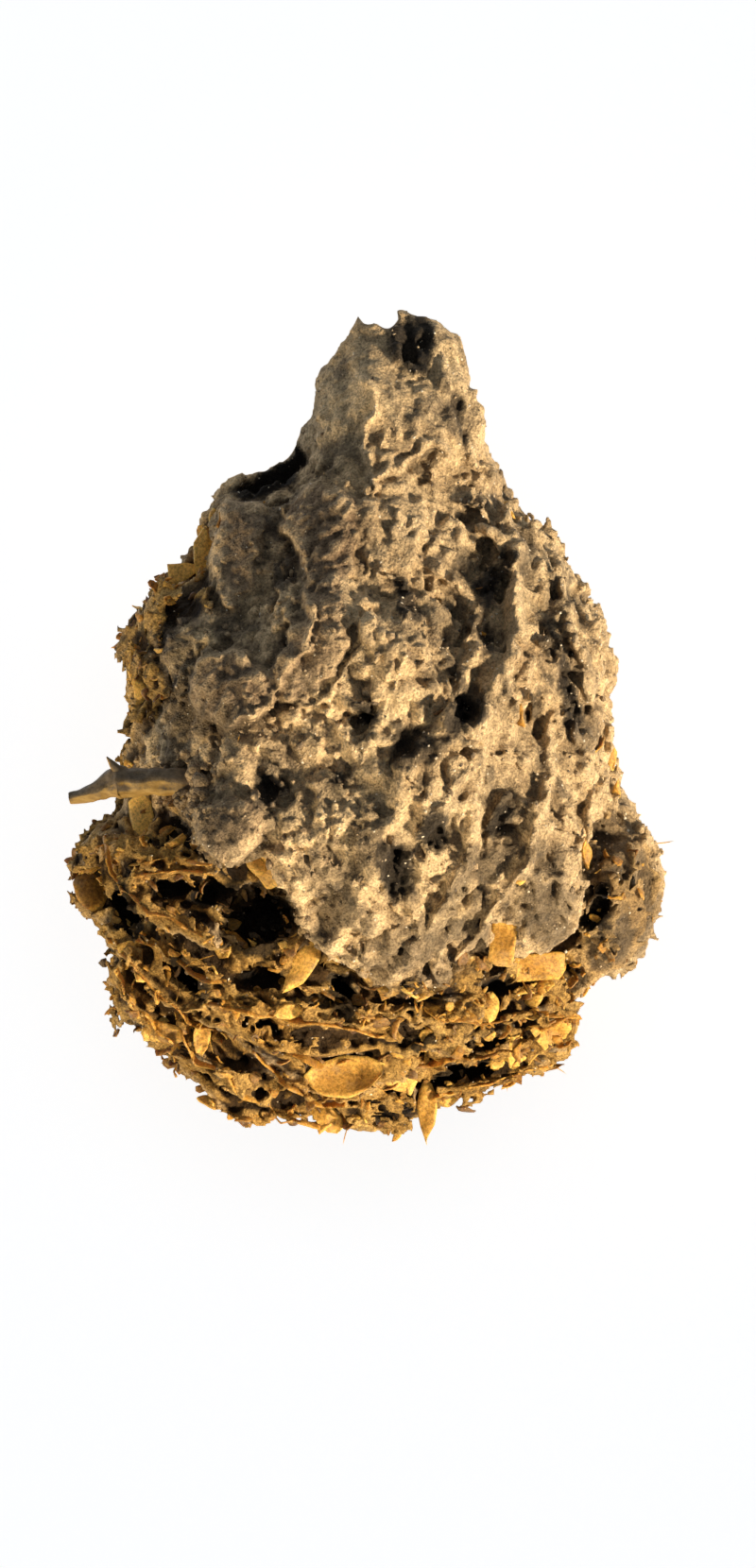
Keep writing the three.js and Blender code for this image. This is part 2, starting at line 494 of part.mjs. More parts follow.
// A bent plate with the outline of its shape, `grow` larger on every side.
function flakeGeometry({ shape, long, wide, bend }, grow) {
  const points = [];
  const faces = [];
  const across = FLAKE_COLUMNS + 1;
  const halfThick = FLAKE_THICK / 2 + grow;
  for (const side of [1, -1])
    for (let i = 0; i <= FLAKE_ROWS; i++)
      for (let j = 0; j < across; j++) {
        const u = -1 + (2 * i) / FLAKE_ROWS;
        const v = -1 + (2 * j) / FLAKE_COLUMNS;
        const half = Math.max(0.12, (wide / 2) * SHAPES[shape](u * 0.97)) + grow;
        const arch = bend * (1 - 0.6 * u * u - 0.4 * v * v);
        points.push(u * (long / 2 + grow), v * half, arch + side * halfThick);
      }
  const layer = (FLAKE_ROWS + 1) * across;
  const at = (side, i, j) => side * layer + i * across + j;
  const quad = (a, b, c, d) => faces.push(a, b, c, a, c, d);
  for (let i = 0; i < FLAKE_ROWS; i++)
    for (let j = 0; j < FLAKE_COLUMNS; j++) {
      quad(at(0, i, j), at(0, i + 1, j), at(0, i + 1, j + 1), at(0, i, j + 1));
      quad(at(1, i, j), at(1, i, j + 1), at(1, i + 1, j + 1), at(1, i + 1, j));
    }
  for (let i = 0; i < FLAKE_ROWS; i++) {
    quad(at(0, i, 0), at(1, i, 0), at(1, i + 1, 0), at(0, i + 1, 0));
    quad(at(0, i + 1, FLAKE_COLUMNS), at(1, i + 1, FLAKE_COLUMNS), at(1, i, FLAKE_COLUMNS), at(0, i, FLAKE_COLUMNS));
  }
  for (let j = 0; j < FLAKE_COLUMNS; j++) {
    quad(at(0, 0, j + 1), at(1, 0, j + 1), at(1, 0, j), at(0, 0, j));
    quad(at(0, FLAKE_ROWS, j), at(1, FLAKE_ROWS, j), at(1, FLAKE_ROWS, j + 1), at(0, FLAKE_ROWS, j + 1));
  }
  const geometry = new THREE.BufferGeometry();
  geometry.setAttribute("position", new THREE.Float32BufferAttribute(points, 3));
  geometry.setIndex(faces);
  return geometry;
}

// The height of a solid's highest point over (x, y).
function topOver(solid, x, y) {
  const column = toSolid(new THREE.BoxGeometry(0.6, 0.6, 80).translate(x, y, 40));
  const heights = solid.intersect(column).getMesh().vertProperties.filter((_, n) => n % 3 === 2);
  return heights.reduce((a, b) => Math.max(a, b), 0);
}

// Where a flake lies: on the solid that carries it, unless it gives its own height.
function flakePlace({ x, y, turn, pitch, roll, lift, rest }, carrier) {
  const spin = new THREE.Quaternion().setFromEuler(
    new THREE.Euler(radians(roll), radians(-pitch), radians(turn), "ZYX"),
  );
  if (rest !== undefined)
    return new THREE.Matrix4().compose(new THREE.Vector3(x, y, rest), spin, new THREE.Vector3(1, 1, 1));
  const step = 0.9;
  const slope = (dx, dy) => {
    const fall = topOver(carrier, x - dx, y - dy) - topOver(carrier, x + dx, y + dy);
    return SLOPE_FOLLOWED * THREE.MathUtils.clamp(fall / (2 * step), -1.5, 1.5);
  };
  const normal = new THREE.Vector3(slope(step, 0), slope(0, step), 1).normalize();
  const lean = new THREE.Quaternion().setFromUnitVectors(new THREE.Vector3(0, 0, 1), normal);
  const place = new THREE.Vector3(x, y, topOver(carrier, x, y) + lift);
  return new THREE.Matrix4().compose(place, lean.multiply(spin), new THREE.Vector3(1, 1, 1));
}

// A tube with its own radius at each point of a path, closed at the first point and bored at the last.
function strawGeometry(grow) {
  const line = new THREE.CatmullRomCurve3(STRAW.map(({ at }) => new THREE.Vector3(...at)));
  const rings = STRAW.map(({ radius }, n) => ({ t: n / (STRAW.length - 1), radius: radius + grow }));
  const length = line.getLength();
  const mouth = STRAW.at(-1).radius * STRAW_BORE.share;
  if (grow === 0) rings.push({ t: 1, radius: mouth }, { t: 1 - STRAW_BORE.depth / length, radius: mouth * 0.6 });
  const points = [];
  const faces = [];
  const side = new THREE.Vector3(0, 1, 0);
  for (const { t, radius } of rings) {
    const centre = line.getPoint(Math.min(1, t));
    const tangent = line.getTangent(Math.min(1, t));
    const up = new THREE.Vector3().crossVectors(tangent, side).normalize();
    const out = new THREE.Vector3().crossVectors(up, tangent);
    for (let k = 0; k < STRAW_SIDES; k++) {
      const angle = (2 * Math.PI * k) / STRAW_SIDES;
      const p = centre.clone().addScaledVector(out, radius * Math.cos(angle)).addScaledVector(up, radius * Math.sin(angle));
      points.push(p.x, p.y, p.z);
    }
  }
  const wrap = (ring, k) => ring * STRAW_SIDES + (k % STRAW_SIDES);
  for (let ring = 1; ring < rings.length; ring++)
    for (let k = 0; k < STRAW_SIDES; k++) {
      const [a, b] = [wrap(ring - 1, k), wrap(ring - 1, k + 1)];
      const [c, d] = [wrap(ring, k + 1), wrap(ring, k)];
      faces.push(a, b, c, a, c, d);
    }
  for (let k = 1; k < STRAW_SIDES - 1; k++) {
    faces.push(wrap(0, 0), wrap(0, k + 1), wrap(0, k));
    const end = rings.length - 1;
    faces.push(wrap(end, 0), wrap(end, k), wrap(end, k + 1));
  }
  const geometry = new THREE.BufferGeometry();
  geometry.setAttribute("position", new THREE.Float32BufferAttribute(points, 3));
  geometry.setIndex(faces);
  return geometry;
}

// ---------------------------------------------------------------- assembly

const largest = (solid) => solid.decompose().reduce((a, b) => (a.volume() > b.volume() ? a : b));
const flipIfInsideOut = (geometry) => {
  if (toSolid(geometry).volume() > 0) return geometry;
  const index = Array.from(geometry.index.array);
  for (let n = 0; n < index.length; n += 3) [index[n + 1], index[n + 2]] = [index[n + 2], index[n + 1]];
  geometry.setIndex(index);
  return geometry;
};

const coprolite = new THREE.Group();

function addPiece(name, geometry, color, roughness) {
  const material = new THREE.MeshStandardMaterial({ color, roughness, metalness: 0 });
  const mesh = new THREE.Mesh(geometry, material);
  mesh.name = name;
  coprolite.add(mesh);
}

let matrix = lump();
for (const hollow of HOLLOWS) matrix = matrix.subtract(hollowCutter(hollow));
const floor = new THREE.BoxGeometry(60, 80, 20).translate(0, 0, -10);
matrix = matrix.subtract(toSolid(floor));

const carved = matrix;
for (const flake of FLAKES) {
  const place = flakePlace(flake, carved);
  const pocket = toSolid(flipIfInsideOut(flakeGeometry(flake, GAP)).applyMatrix4(place));
  matrix = matrix.subtract(pocket);
  addPiece(flake.name, flipIfInsideOut(flakeGeometry(flake, 0)).applyMatrix4(place), FLAKE_COLOR, 0.45);
}
matrix = matrix.subtract(toSolid(flipIfInsideOut(strawGeometry(GAP))));
addPiece("straw", flipIfInsideOut(strawGeometry(0)), 0x6f6350, 0.7);
addPiece("dung_lump", toGeometry(largest(matrix)), 0x9a8462, 0.95);

export default coprolite;
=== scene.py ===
"""The looks of a coprolite: a dried, tapering lump of dung, lying on its back on a pale floor.

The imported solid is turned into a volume, carved with pits, crests, ledges and hollows, and meshed
again. Bran flakes, chips, fibres, clods of earth and grains of sand are added as joined meshes.
Lengths in this script are millimetres until a mesh is made.
"""

import json
import math

import bmesh
import bpy
import numpy as np
import openvdb
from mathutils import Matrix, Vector

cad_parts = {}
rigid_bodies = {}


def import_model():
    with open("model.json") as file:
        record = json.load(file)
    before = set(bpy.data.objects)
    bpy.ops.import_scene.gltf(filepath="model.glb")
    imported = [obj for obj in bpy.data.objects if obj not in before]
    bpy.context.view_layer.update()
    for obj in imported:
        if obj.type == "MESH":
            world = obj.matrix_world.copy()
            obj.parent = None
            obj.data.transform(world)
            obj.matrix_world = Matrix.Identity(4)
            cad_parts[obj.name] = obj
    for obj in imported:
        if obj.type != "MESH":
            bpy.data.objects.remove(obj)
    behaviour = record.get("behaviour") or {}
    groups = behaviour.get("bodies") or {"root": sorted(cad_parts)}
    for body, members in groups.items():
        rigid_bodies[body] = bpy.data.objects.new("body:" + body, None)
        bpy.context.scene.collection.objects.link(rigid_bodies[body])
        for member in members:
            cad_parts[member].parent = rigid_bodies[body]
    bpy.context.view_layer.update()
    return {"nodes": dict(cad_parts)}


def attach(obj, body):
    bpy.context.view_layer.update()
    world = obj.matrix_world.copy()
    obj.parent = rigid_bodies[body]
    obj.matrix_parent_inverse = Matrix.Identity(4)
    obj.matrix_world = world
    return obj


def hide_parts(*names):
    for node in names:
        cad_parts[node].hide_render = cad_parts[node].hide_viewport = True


MM = 0.001
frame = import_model()

# ---- relief, in millimetres

VOXEL = 0.2  # side of one voxel of the carved volume
BAND = 2.6  # how far from the solid's surface the carving reaches
MARGIN = 1.4  # room round the solid for relief that stands out
CEILING_RISE = 0.6  # how far the relief may stand over the solid's highest point
BESIDE_HEIGHT = 18  # height of a hollow's opening where it lies beside the solid
CREST_GAIN = 1.35
PIT_GAIN = 0.28
CRACKS = 150  # scattered points whose cells outline the cracks
LAYER_TURN = 20  # millimetres along a broken layer for each radian round its axis
STREAK_TURN = 74  # direction of the streaks down the right side, in degrees from +X
RIBBON_ROOT = 0.9  # how deep a layer's edge is rooted in the lump
RIBBON_THICK = 0.11
FLAKE_THICK = 0.2
FLAKE_GAP = 0.1  # clear space round a large flake
OPEN_HEIGHT = 2.4  # how far over a large flake the lump is cleared away
CHIPS, CHIP_THICK = 900, 0.09
FIBRES, FIBRE_RADIUS = 90, 0.045
CLODS, GRAINS = 700, 5200
FLOOR = 6  # half the floor's side, in metres

# The region below the crust's broken edge, where the inside shows.
BREAK = [
    (-18, -2.1), (-15.2, -1.3), (-13.3, -3.3), (-11.7, -5.1), (-10.3, -5.8), (-8.7, -5.2),
    (-6.7, -7), (-6.1, -8.7), (-5.5, -10.4), (-4.4, -11.5), (-3.1, -12.2), (-1.9, -12.1),
    (-0.9, -13.3), (0.3, -14.5), (2, -14.1), (3.7, -14.2), (5.1, -13.6), (6.1, -12.3),
    (7.5, -11.1), (9.3, -12.8), (13.3, -11.5), (14.8, -14.4), (13.3, -26.7), (-11.3, -26.7),
    (-22.7, -16.7), (-22.7, -2.7),
]

# Where else the inside shows: how much of it, and the outline.
LEFT_STRIP = [
    (-10.7, 21), (-11.7, 19), (-12.1, 15.3), (-11.7, 12.7), (-13.6, 11.7), (-15.3, 8.7), (-15, 5.7),
    (-16, 4), (-17.2, 1.2), (-20.3, 1), (-20.3, 10), (-19.3, 14.7), (-14.7, 19), (-13.3, 21.7),
]
RIGHT_LOBE = [
    (14.1, -2.7), (16.7, -2), (20, -4.7), (21.5, -8.7), (19, -14.3), (14.7, -15.3), (13.1, -12),
    (14.3, -7.3),
]
BROKEN_PATCHES = [(1, BREAK), (1, LEFT_STRIP), (0.7, RIGHT_LOBE)]

# Scars of the crust, painted dark: depth, how black the painted shade makes them, and outline.
SCARS = [
    (1.8, 1, [(-11, 20.4), (-9, 21.9), (-7.2, 23.5), (-5.5, 24.3), (-5, 22.4), (-6.2, 20.9), (-9.3, 19.9)]),
    (-0.3, 0.45, [(0.7, 32.6), (3.9, 33.4), (4.5, 30.2), (3.6, 28.4), (1.5, 29.2), (0.4, 31)]),
    (0.5, 0, [(4.8, 27.6), (5.6, 27.9), (6.9, 24.4), (6.6, 22.6), (5.7, 24.4)]),
    (1.2, 1, [(14.6, -7.1), (16.3, -7), (16.3, -10), (14.8, -10.4)]),
    (0.5, 0.6, [(2.7, -2.9), (3.9, -2.4), (5.1, -3), (5, -4.2), (4, -5), (2.9, -4.5)]),
    (0.6, 0.6, [(0.6, -4.9), (2, -4.3), (2.5, -5.6), (2.1, -7.4), (1.4, -8.8), (0.4, -8.2), (0.1, -6.5)]),
    (0.5, 0.55, [(8, -1.4), (9.3, -1.3), (9.7, -2.6), (9, -4), (7.9, -3.5)]),
    (0.4, 0.5, [(12.6, 8), (13.6, 7.6), (14.1, 5.4), (13.7, 3.3), (12.9, 4.2), (12.5, 6)]),
    (0.6, 0.7, [(-1.6, 5.6), (-0.4, 5.7), (0.1, 4.6), (-0.6, 3.4), (-1.7, 3.9)]),
    (0.4, 0.45, [(5.2, 6.1), (6.8, 6.3), (7.2, 4.6), (6, 3.4), (4.9, 4.3)]),
    (0.4, 0.5, [(1, 3.9), (2.9, 4.1), (3.6, 2.9), (2.9, 1.5), (1.2, 1.6)]),
    (0.5, 0.5, [(-8.7, 0.9), (-7.2, 1), (-6.6, -0.4), (-7.6, -1.5), (-8.8, -0.8)]),
]

# Smooth patches of clay-like crust.
PLATES = [
    [(-6.8, 18), (-6.4, 20.3), (-4.5, 21.2), (-2.5, 21), (-1.3, 19.9), (-1.3, 17.3), (-2, 15),
     (-2.3, 12.3), (-1.7, 10), (-2.5, 8.3), (-3.7, 7.1), (-5.2, 6.1), (-6.8, 5.7), (-7.7, 7.6),
     (-6.9, 9.3), (-5.7, 11.7), (-4.9, 14.1)],
    [(-13.1, 7.2), (-12.4, 9.2), (-10.1, 9.7), (-8.5, 8.7), (-7.3, 7.2), (-7.6, 5.5), (-8.8, 4.1),
     (-10.4, 3.9), (-11.9, 4.3), (-13, 5.5)],
    [(-13.1, -1.9), (-10.7, -1.1), (-8.4, -1.3), (-7.3, -2.8), (-8.5, -4.7), (-10.3, -5.8), (-11.7, -5),
     (-12.7, -3.7)],
    [(-11.6, 19), (-10, 20.4), (-7.9, 19.9), (-7.7, 18), (-8.7, 15.3), (-9.2, 12.7), (-10.9, 12.1),
     (-11.7, 14.7)],
]

# Pits of the crust: x, y, length, width, turn of the long side from +X in degrees, depth.
PITS = [
    (2.2, 31, 4.7, 3, 90, 1.2), (5.3, 26, 5, 0.9, -76, 1), (5.8, 30.3, 2, 0.7, -75, 0.6),
    (0.5, 27.9, 2, 1.3, 90, 0.4), (2.3, 25.3, 2.7, 1.7, 60, 0.5), (3, 22.3, 3, 1.3, 25, 0.9),
    (-3.3, 21.7, 1.3, 0.5, -45, 0.5), (-0.3, 21.3, 2, 1.3, 90, 0.8), (-1, 19, 2.7, 0.8, 90, 0.5),
    (6.7, 19.3, 2.3, 1.7, 80, 0.9), (8.1, 22, 2.7, 0.7, 100, 0.6), (8.5, 18, 2.7, 0.8, 95, 0.8),
    (8, 14.3, 6, 1.9, 65, 1.9), (5.7, 15.3, 2.7, 1.3, 80, 0.9), (2, 12.9, 4.3, 1.6, 114, 1.6),
    (7.8, 10.1, 2.3, 1.5, 90, 1.3), (5.2, 11.7, 3.3, 2.7, 90, 0.8), (11.1, 11.7, 2.7, 1.2, 80, 1),
    (11.7, 8.7, 4, 1.7, 100, 1.3), (13.3, 15, 2.3, 0.7, -60, 0.6), (13.3, 6.3, 5.7, 1.7, 106, 2),
    (11.2, 5, 4.7, 1.3, 100, 1.3), (14.7, 9.3, 2.7, 1.7, 90, 0.4), (5.7, 7.3, 5.3, 1.3, 117, 1.3),
    (6, 4.7, 4, 3, 60, 1.7), (-1, 4.5, 3.3, 1.9, 120, 2.6), (-1, 2, 2.7, 0.9, 90, 1),
    (2.3, 2.7, 4, 3, 30, 1.4), (-3.2, 0.3, 3, 1.1, 10, 1.6), (-7.8, -0.3, 3, 2.3, 90, 1.6),
    (4, -3.3, 2.7, 2, 90, 2), (1.3, -6.3, 5, 2.3, 95, 2.3), (8.7, -2.9, 3.7, 1.9, 80, 1.6),
    (7.8, 0.3, 3.3, 1, 70, 1), (6.3, 0.7, 3, 0.9, 50, 0.9), (-3.3, -3.7, 1.2, 0.9, 30, 0.8),
    (-1, -6.3, 1.7, 0.8, 60, 0.9), (-1, -9.7, 2.3, 2, 80, 0.7), (-4, -7.7, 4, 3.3, 90, 0.7),
    (2, -15, 3.3, 1.7, 15, 1.3), (4, -12, 2.7, 2, 30, 1.1), (9.7, -8.7, 3.3, 3.3, 0, 0.6),
    (15.5, -8.8, 3.2, 2, 90, 1.6), (-10, 19.3, 2, 1.2, 70, 0.6), (-4.7, 12.7, 1.3, 0.9, 20, 0.5),
    (-13, 11.7, 2.7, 1.3, 70, 0.9), (-15, 9.3, 2, 1.5, 60, 0.9), (-6.7, 8.7, 2, 0.9, 30, 0.5),
    (-10.7, 0.7, 2, 1.5, 80, 0.9), (-6.7, -2.7, 2.7, 1.3, 30, 0.8), (10.7, -2, 2, 1.6, 80, 0.8),
    (12.7, -4.7, 2.3, 1.1, 90, 0.8), (7, -5, 2, 1.3, 70, 0.9), (4.7, -8.7, 1.5, 1.2, 30, 0.8),
    (2.7, 0, 1.6, 1.1, 60, 0.8), (0.7, 8.7, 2, 1.1, 95, 0.6), (3.7, 7.3, 2.4, 1.2, 110, 0.8),
    (9.3, 6.3, 2.7, 0.9, 95, 0.8), (10, 2, 2, 1.2, 90, 0.8), (12.7, 0, 1.9, 1.1, 100, 0.9),
    (14.3, 2, 1.7, 0.9, 95, 0.7), (3.7, 17, 1.7, 1.2, 100, 0.7), (1.7, 16.3, 1.6, 0.9, 80, 0.5),
]

# Patches of dark dirt: x, y, length, width, turn, strength.
DIRT = [
    (-13.9, 6.1, 4.7, 2.9, 90, 0.8), (-10.2, 11.2, 3.4, 2.6, 20, 0.8), (-12.3, 4, 6, 2.4, 0, 0.7),
    (-12.3, 0.3, 3, 1.2, 90, 0.9), (-6.7, 14.8, 3.6, 1.3, 80, 0.9), (-14.5, 1.8, 3.5, 2, 80, 0.7),
    (11.6, -8.8, 6.5, 4.8, 100, 0.75), (1.5, -6.5, 5.2, 2.4, 95, 1), (-1.4, -6.3, 3, 1.5, 60, 0.7),
    (3.9, -3.5, 3, 2.3, 90, 1), (8.7, -2.8, 4.2, 2.1, 80, 0.9), (4.9, -8.4, 3, 1.4, 50, 0.6),
    (6.2, 4.9, 4.2, 2.6, 60, 0.9), (13.3, 6.2, 5.6, 1.5, 105, 0.9), (2.5, 2.6, 4.4, 2.8, 30, 0.8),
    (7.4, 12.6, 5.4, 1.2, 62, 0.85), (-7.8, -0.2, 3, 2.4, 90, 0.9), (17.4, -8.6, 12, 6.5, 95, 0.45),
    (8, -5.6, 4.5, 2.2, 50, 0.8),
    (-3.2, -9, 4, 3, 60, 0.6), (-10.9, -3, 4.5, 4, 0, 0.55), (-5, -0.8, 7, 2, 15, 0.45),
    (-3.3, -4.5, 4.5, 2, 30, 0.5), (12.5, 12.5, 4.5, 1.6, 100, 0.6), (14.6, 4, 4, 1.6, 95, 0.6),
    (-6, 2.5, 4.5, 1.6, 30, 0.5), (4.8, -13.6, 4.5, 1.8, 10, 0.6), (10.3, 16.3, 3.6, 1.2, 100, 0.6),
    (2, -11.6, 8, 3.2, 20, 0.6), (6.5, -9.8, 5, 3, 60, 0.6), (11, -6.5, 6, 3, 90, 0.6),
    (-0.5, -4.4, 3.4, 1.8, 80, 0.7), (6.3, -6.6, 4.2, 1.7, 75, 0.7), (-2.4, -7.4, 4.4, 1.6, 70, 0.7),
    (-14.3, 9.5, 3.4, 2.2, 60, 0.7), (4.3, 9.5, 4, 1.5, 110, 0.5), (-0.7, -2, 3.5, 1.5, 60, 0.5),
]

# Crests that run over the crust: half width, height, path.
CRESTS = [
    (1, 0.3, [(4.3, 32.3), (6.4, 24), (7.8, 18)]),
    (1, 0.5, [(7.8, 18), (9.7, 15.3), (10, 10)]),
    (0.8, 0.6, [(9, 19.3), (9.7, 14), (9.3, 8.7), (7.5, 6), (6.7, 2), (5.3, -0.7), (3, -3.3)]),
    (0.5, 0.5, [(0.3, 21.7), (2, 23.3), (4, 24), (5, 23.3)]),
    (0.35, 0.4, [(-0.5, 28.7), (-0.7, 24), (0, 20.7)]),
    (0.7, 0.5, [(12.7, 15.3), (13.3, 11.3), (15, 6), (14.7, 2)]),
    (0.7, 0.5, [(11.7, 7.3), (12.3, 4), (11.7, 0), (10.7, -4.7), (9.7, -6.7)]),
    (0.8, 0.6, [(4, 15.3), (6.7, 12.7), (7, 8.7), (4.7, 4.7), (2, 0.7), (0.7, -3.3)]),
    (0.8, 0.6, [(6.3, -1.3), (6.7, -4.7), (5.3, -8), (2.7, -11.3), (1.3, -14)]),
    (0.8, 0.5, [(0, -3.3), (-0.3, -6.7), (-2, -10), (-3.3, -11.3)]),
    (0.4, 0.55, [(10.2, -5), (9.4, -7.4), (8, -8.8), (6.9, -10.6), (5.6, -12.6)]),
    (0.3, 0.35, [(-4.7, 12.7), (-5.3, 9.3), (-7.3, 6.7)]),
    (0.35, 0.35, [(-7.7, 6.6), (-7.9, 5.5), (-8.8, 4.5), (-10.2, 4.3)]),
    (0.35, 0.4, [(-1.7, 8.7), (-3.2, 6.3), (-4.7, 5.7), (-6.7, 6)]),
]

# Edges of the thin layers that show in the broken end.
LEDGES = [
    [(-19.2, -3.3), (-18.3, -6.7), (-16.7, -8), (-14, -9.7), (-12.3, -10.7), (-10.7, -11.3)],
    [(-17.3, -5.5), (-14, -5), (-11.3, -5.5)],
    [(-17.3, -6.3), (-14, -5.9), (-11.2, -6.1)],
    [(-18.8, -10.3), (-16.7, -13.3), (-15, -15.3), (-13.3, -16.7), (-10.7, -17.7)],
    [(-12.3, -15.3), (-10.7, -15.5), (-8, -16), (-6, -16.3), (-3.3, -16.7), (-0.7, -17.3), (1.3, -17.7)],
    [(-14, -17.3), (-13, -18.7), (-11.3, -20)],
    [(-9.3, -18.7), (-6.7, -20.7), (-4.7, -22.3), (-2, -22.3)],
    [(-18.3, -12.7), (-17.3, -15.3), (-15.3, -17.7), (-14, -18.7)],
    [(-11.3, -20), (-9.3, -22), (-6.7, -23.7), (-4, -24)],
    [(2, -20), (4.7, -19), (7.3, -19.3), (10.7, -18.3)],
    [(2.7, -22.3), (5.3, -21.3), (8.7, -21), (12, -20)],
    [(4.7, -16.3), (7.3, -16.7), (10, -16), (13.3, -16.3)],
    [(-6.7, -18.7), (-4, -19.3), (0, -19.7)],
    [(-16.7, -10.7), (-14.3, -12.3), (-12, -13.3), (-10, -13.7)],
    [(-4.7, -14), (-2, -15.5), (0.7, -16.3)],
    [(9.3, -17.3), (12, -17), (14, -16)],
]

# Hollows with overhanging edges: centre x, y, depth of the centre below the surface, radii, turn.
HOLLOWS = [
    (-8.3, -9.6, 1.6, (3, 2.4, 3.6), 25),
    (-2.4, -15.3, 0.8, (1, 1.7, 2.4), 10),
    (-17.7, -9, 0.4, (0.8, 2.5, 2.2), 28),
    (-13.2, -13.4, 0.5, (0.9, 2.2, 2), 30),
    (5.6, -20.6, 0.4, (2.7, 0.7, 2.2), 12),
    (3.2, -18.2, 0.2, (1.2, 0.4, 1.2), 8),
    (-11.5, -7.6, 0.6, (1.9, 1, 2), 20),
    (-14.4, -7.4, 0.5, (1.6, 0.8, 1.6), 10),
    (-8.2, -13.6, 0.4, (1.9, 0.8, 1.8), 10),
    (8.6, -14.2, 0.4, (1.3, 0.8, 1.6), 0),
]

# Outlines of a plate: along from -1 to 1, then its right and left edge as shares of half its width.
OUTLINES = {
    "block": [(-1, -0.8, 0.55), (-0.86, -0.95, 0.95), (0.8, -1, 0.9), (1, -0.45, 0.75)],
    "shield": [(-1, -0.3, 0.4), (-0.72, -0.95, 0.85), (0.6, -1, 0.95), (1, -0.25, 0.8)],
    "shard": [(-1, -0.4, 0.15), (-0.45, -1, 0.6), (0.35, -0.65, 1), (1, -0.12, 0.1)],
    "glume": [(-1, -0.3, 0.25), (-0.6, -0.85, 0.8), (-0.1, -1, 0.95), (0.45, -0.7, 0.75), (1, -0.06, 0.05)],
    "wedge": [(-1, -0.85, 0.9), (-0.5, -1, 0.75), (0.3, -0.6, 0.5), (1, -0.08, 0.1)],
    "oval": [(-1, -0.35, 0.3), (-0.7, -0.8, 0.75), (0, -1, 1), (0.6, -0.8, 0.85), (1, -0.3, 0.35)],
}
# Each large flake's outline, and its tone from dark to pale.
FLAKES = {
    "hanging_glume": ("glume", 1.0), "leaning_glume": ("glume", 0.75), "bottom_glume": ("glume", 0.6),
    "upright_bran_flake": ("block", 0.5), "wide_bran_flake": ("block", 0.55),
    "edge_bran_flake": ("block", 0.6), "pale_shard": ("shard", 0.95), "lobe_shard": ("shard", 0.6),
    "left_edge_husk": ("shard", 0.9), "right_edge_husk": ("shard", 0.6),
    "left_shoulder_husk": ("shard", 0.95), "lower_left_husk": ("shard", 0.6),
    "left_shoulder_flake": ("wedge", 0.9), "bottom_wedge": ("wedge", 0.8), "amber_husk": ("shield", 0.6),
    "pale_kernel_skin": ("oval", 0.9), "left_brown_husk": ("oval", 0.2), "boat_husk": ("oval", 0.58),
    "yellow_crumb": ("oval", 0.9), "ring_husk": ("oval", 0.6), "bottom_husk": ("oval", 0.6),
}

# Single chips and straws that catch the eye: x, y, length, width, turn, tone.
SINGLE_CHIPS = [
    (-13.4, 14.9, 2.4, 1.7, 25, 0.95), (-12.3, 16.6, 3, 1.5, 75, 0.9), (-11.6, 18.6, 1.8, 1.1, 70, 0.85),
    (-8.4, 17.6, 3.1, 0.42, 68, 0.85), (-14.7, 3.1, 1.7, 0.4, 75, 1), (-16.7, 6.2, 2.6, 1, 95, 0.9),
    (-16.3, 4.4, 1.6, 0.8, 70, 0.8), (-8.3, -5.4, 2.3, 1.4, 55, 0.85), (10.1, -6.5, 1.3, 0.8, 60, 0.9),
    (8.1, -8.5, 2, 0.8, 50, 1), (10.1, 4.9, 1.5, 0.7, 82, 0.5), (16.9, -0.3, 1.3, 0.7, 75, 0.85),
    (8.2, 20.4, 1.9, 0.45, 62, 0.7), (9.3, 19.3, 1.4, 0.35, -48, 0.7), (-16.9, -15.6, 1.7, 0.9, 40, 0.85),
    (-15.7, -17.2, 2.2, 1, 30, 0.9), (-14.6, -18.4, 1.6, 0.9, 60, 0.8), (-12.2, -23, 1.7, 0.8, -20, 0.8),
    (-3.4, -24.4, 1.5, 0.8, 30, 0.85), (12, -17.6, 2.2, 1.3, 20, 0.8), (10.3, -19.4, 2, 1.1, 50, 0.9),
    (8.2, -18.5, 1.6, 1, 100, 0.75), (6.8, -17.3, 1.4, 0.9, 20, 0.7), (13.6, -14.6, 1.5, 0.9, 80, 0.8),
    (5, -22.4, 1.6, 0.8, 10, 0.85), (-6.3, -10.9, 1.5, 0.6, 40, 0.8), (1.2, -18.9, 1.6, 0.7, 5, 0.7),
    (-17.9, -4.9, 1.4, 0.8, 30, 0.75), (-14.2, -3.9, 1.6, 0.6, 20, 0.7), (11, -15.2, 1.5, 0.9, 35, 0.85),
    (9.2, -13.2, 1.6, 0.8, 65, 0.9), (-10.2, -16.7, 1.4, 0.6, 10, 0.7), (3.3, -14.9, 1.3, 0.6, 25, 0.75),
]

# Small bites out of the tip's outline: x, y and radius.
BITES = [(-0.4, 34.3, 1.6), (0.6, 33.3, 0.8), (8.4, 27, 1)]

AXIS_OF_LAYERS = (1.5, 7.0)  # the broken layers curve round this point, seen from above


# ---- noise and small helpers


def smooth(low, high, value):
    t = np.clip((value - low) / (high - low), 0, 1)
    return t * t * (3 - 2 * t)


def corner_blend(values, low, high, t):
    """Values between the corners of each point's cell, t of the way from low to high on each axis."""
    ends = [np.ascontiguousarray(corner.T) for corner in (low, high)]
    shares = [np.ascontiguousarray(share.T) for share in (1 - t, t)]
    total = np.zeros(len(t), t.dtype)
    for a, b, c in np.ndindex(2, 2, 2):
        share = shares[a][0] * shares[b][1] * shares[c][2]
        total += share * values[ends[a][0], ends[b][1], ends[c][2]]
    return total


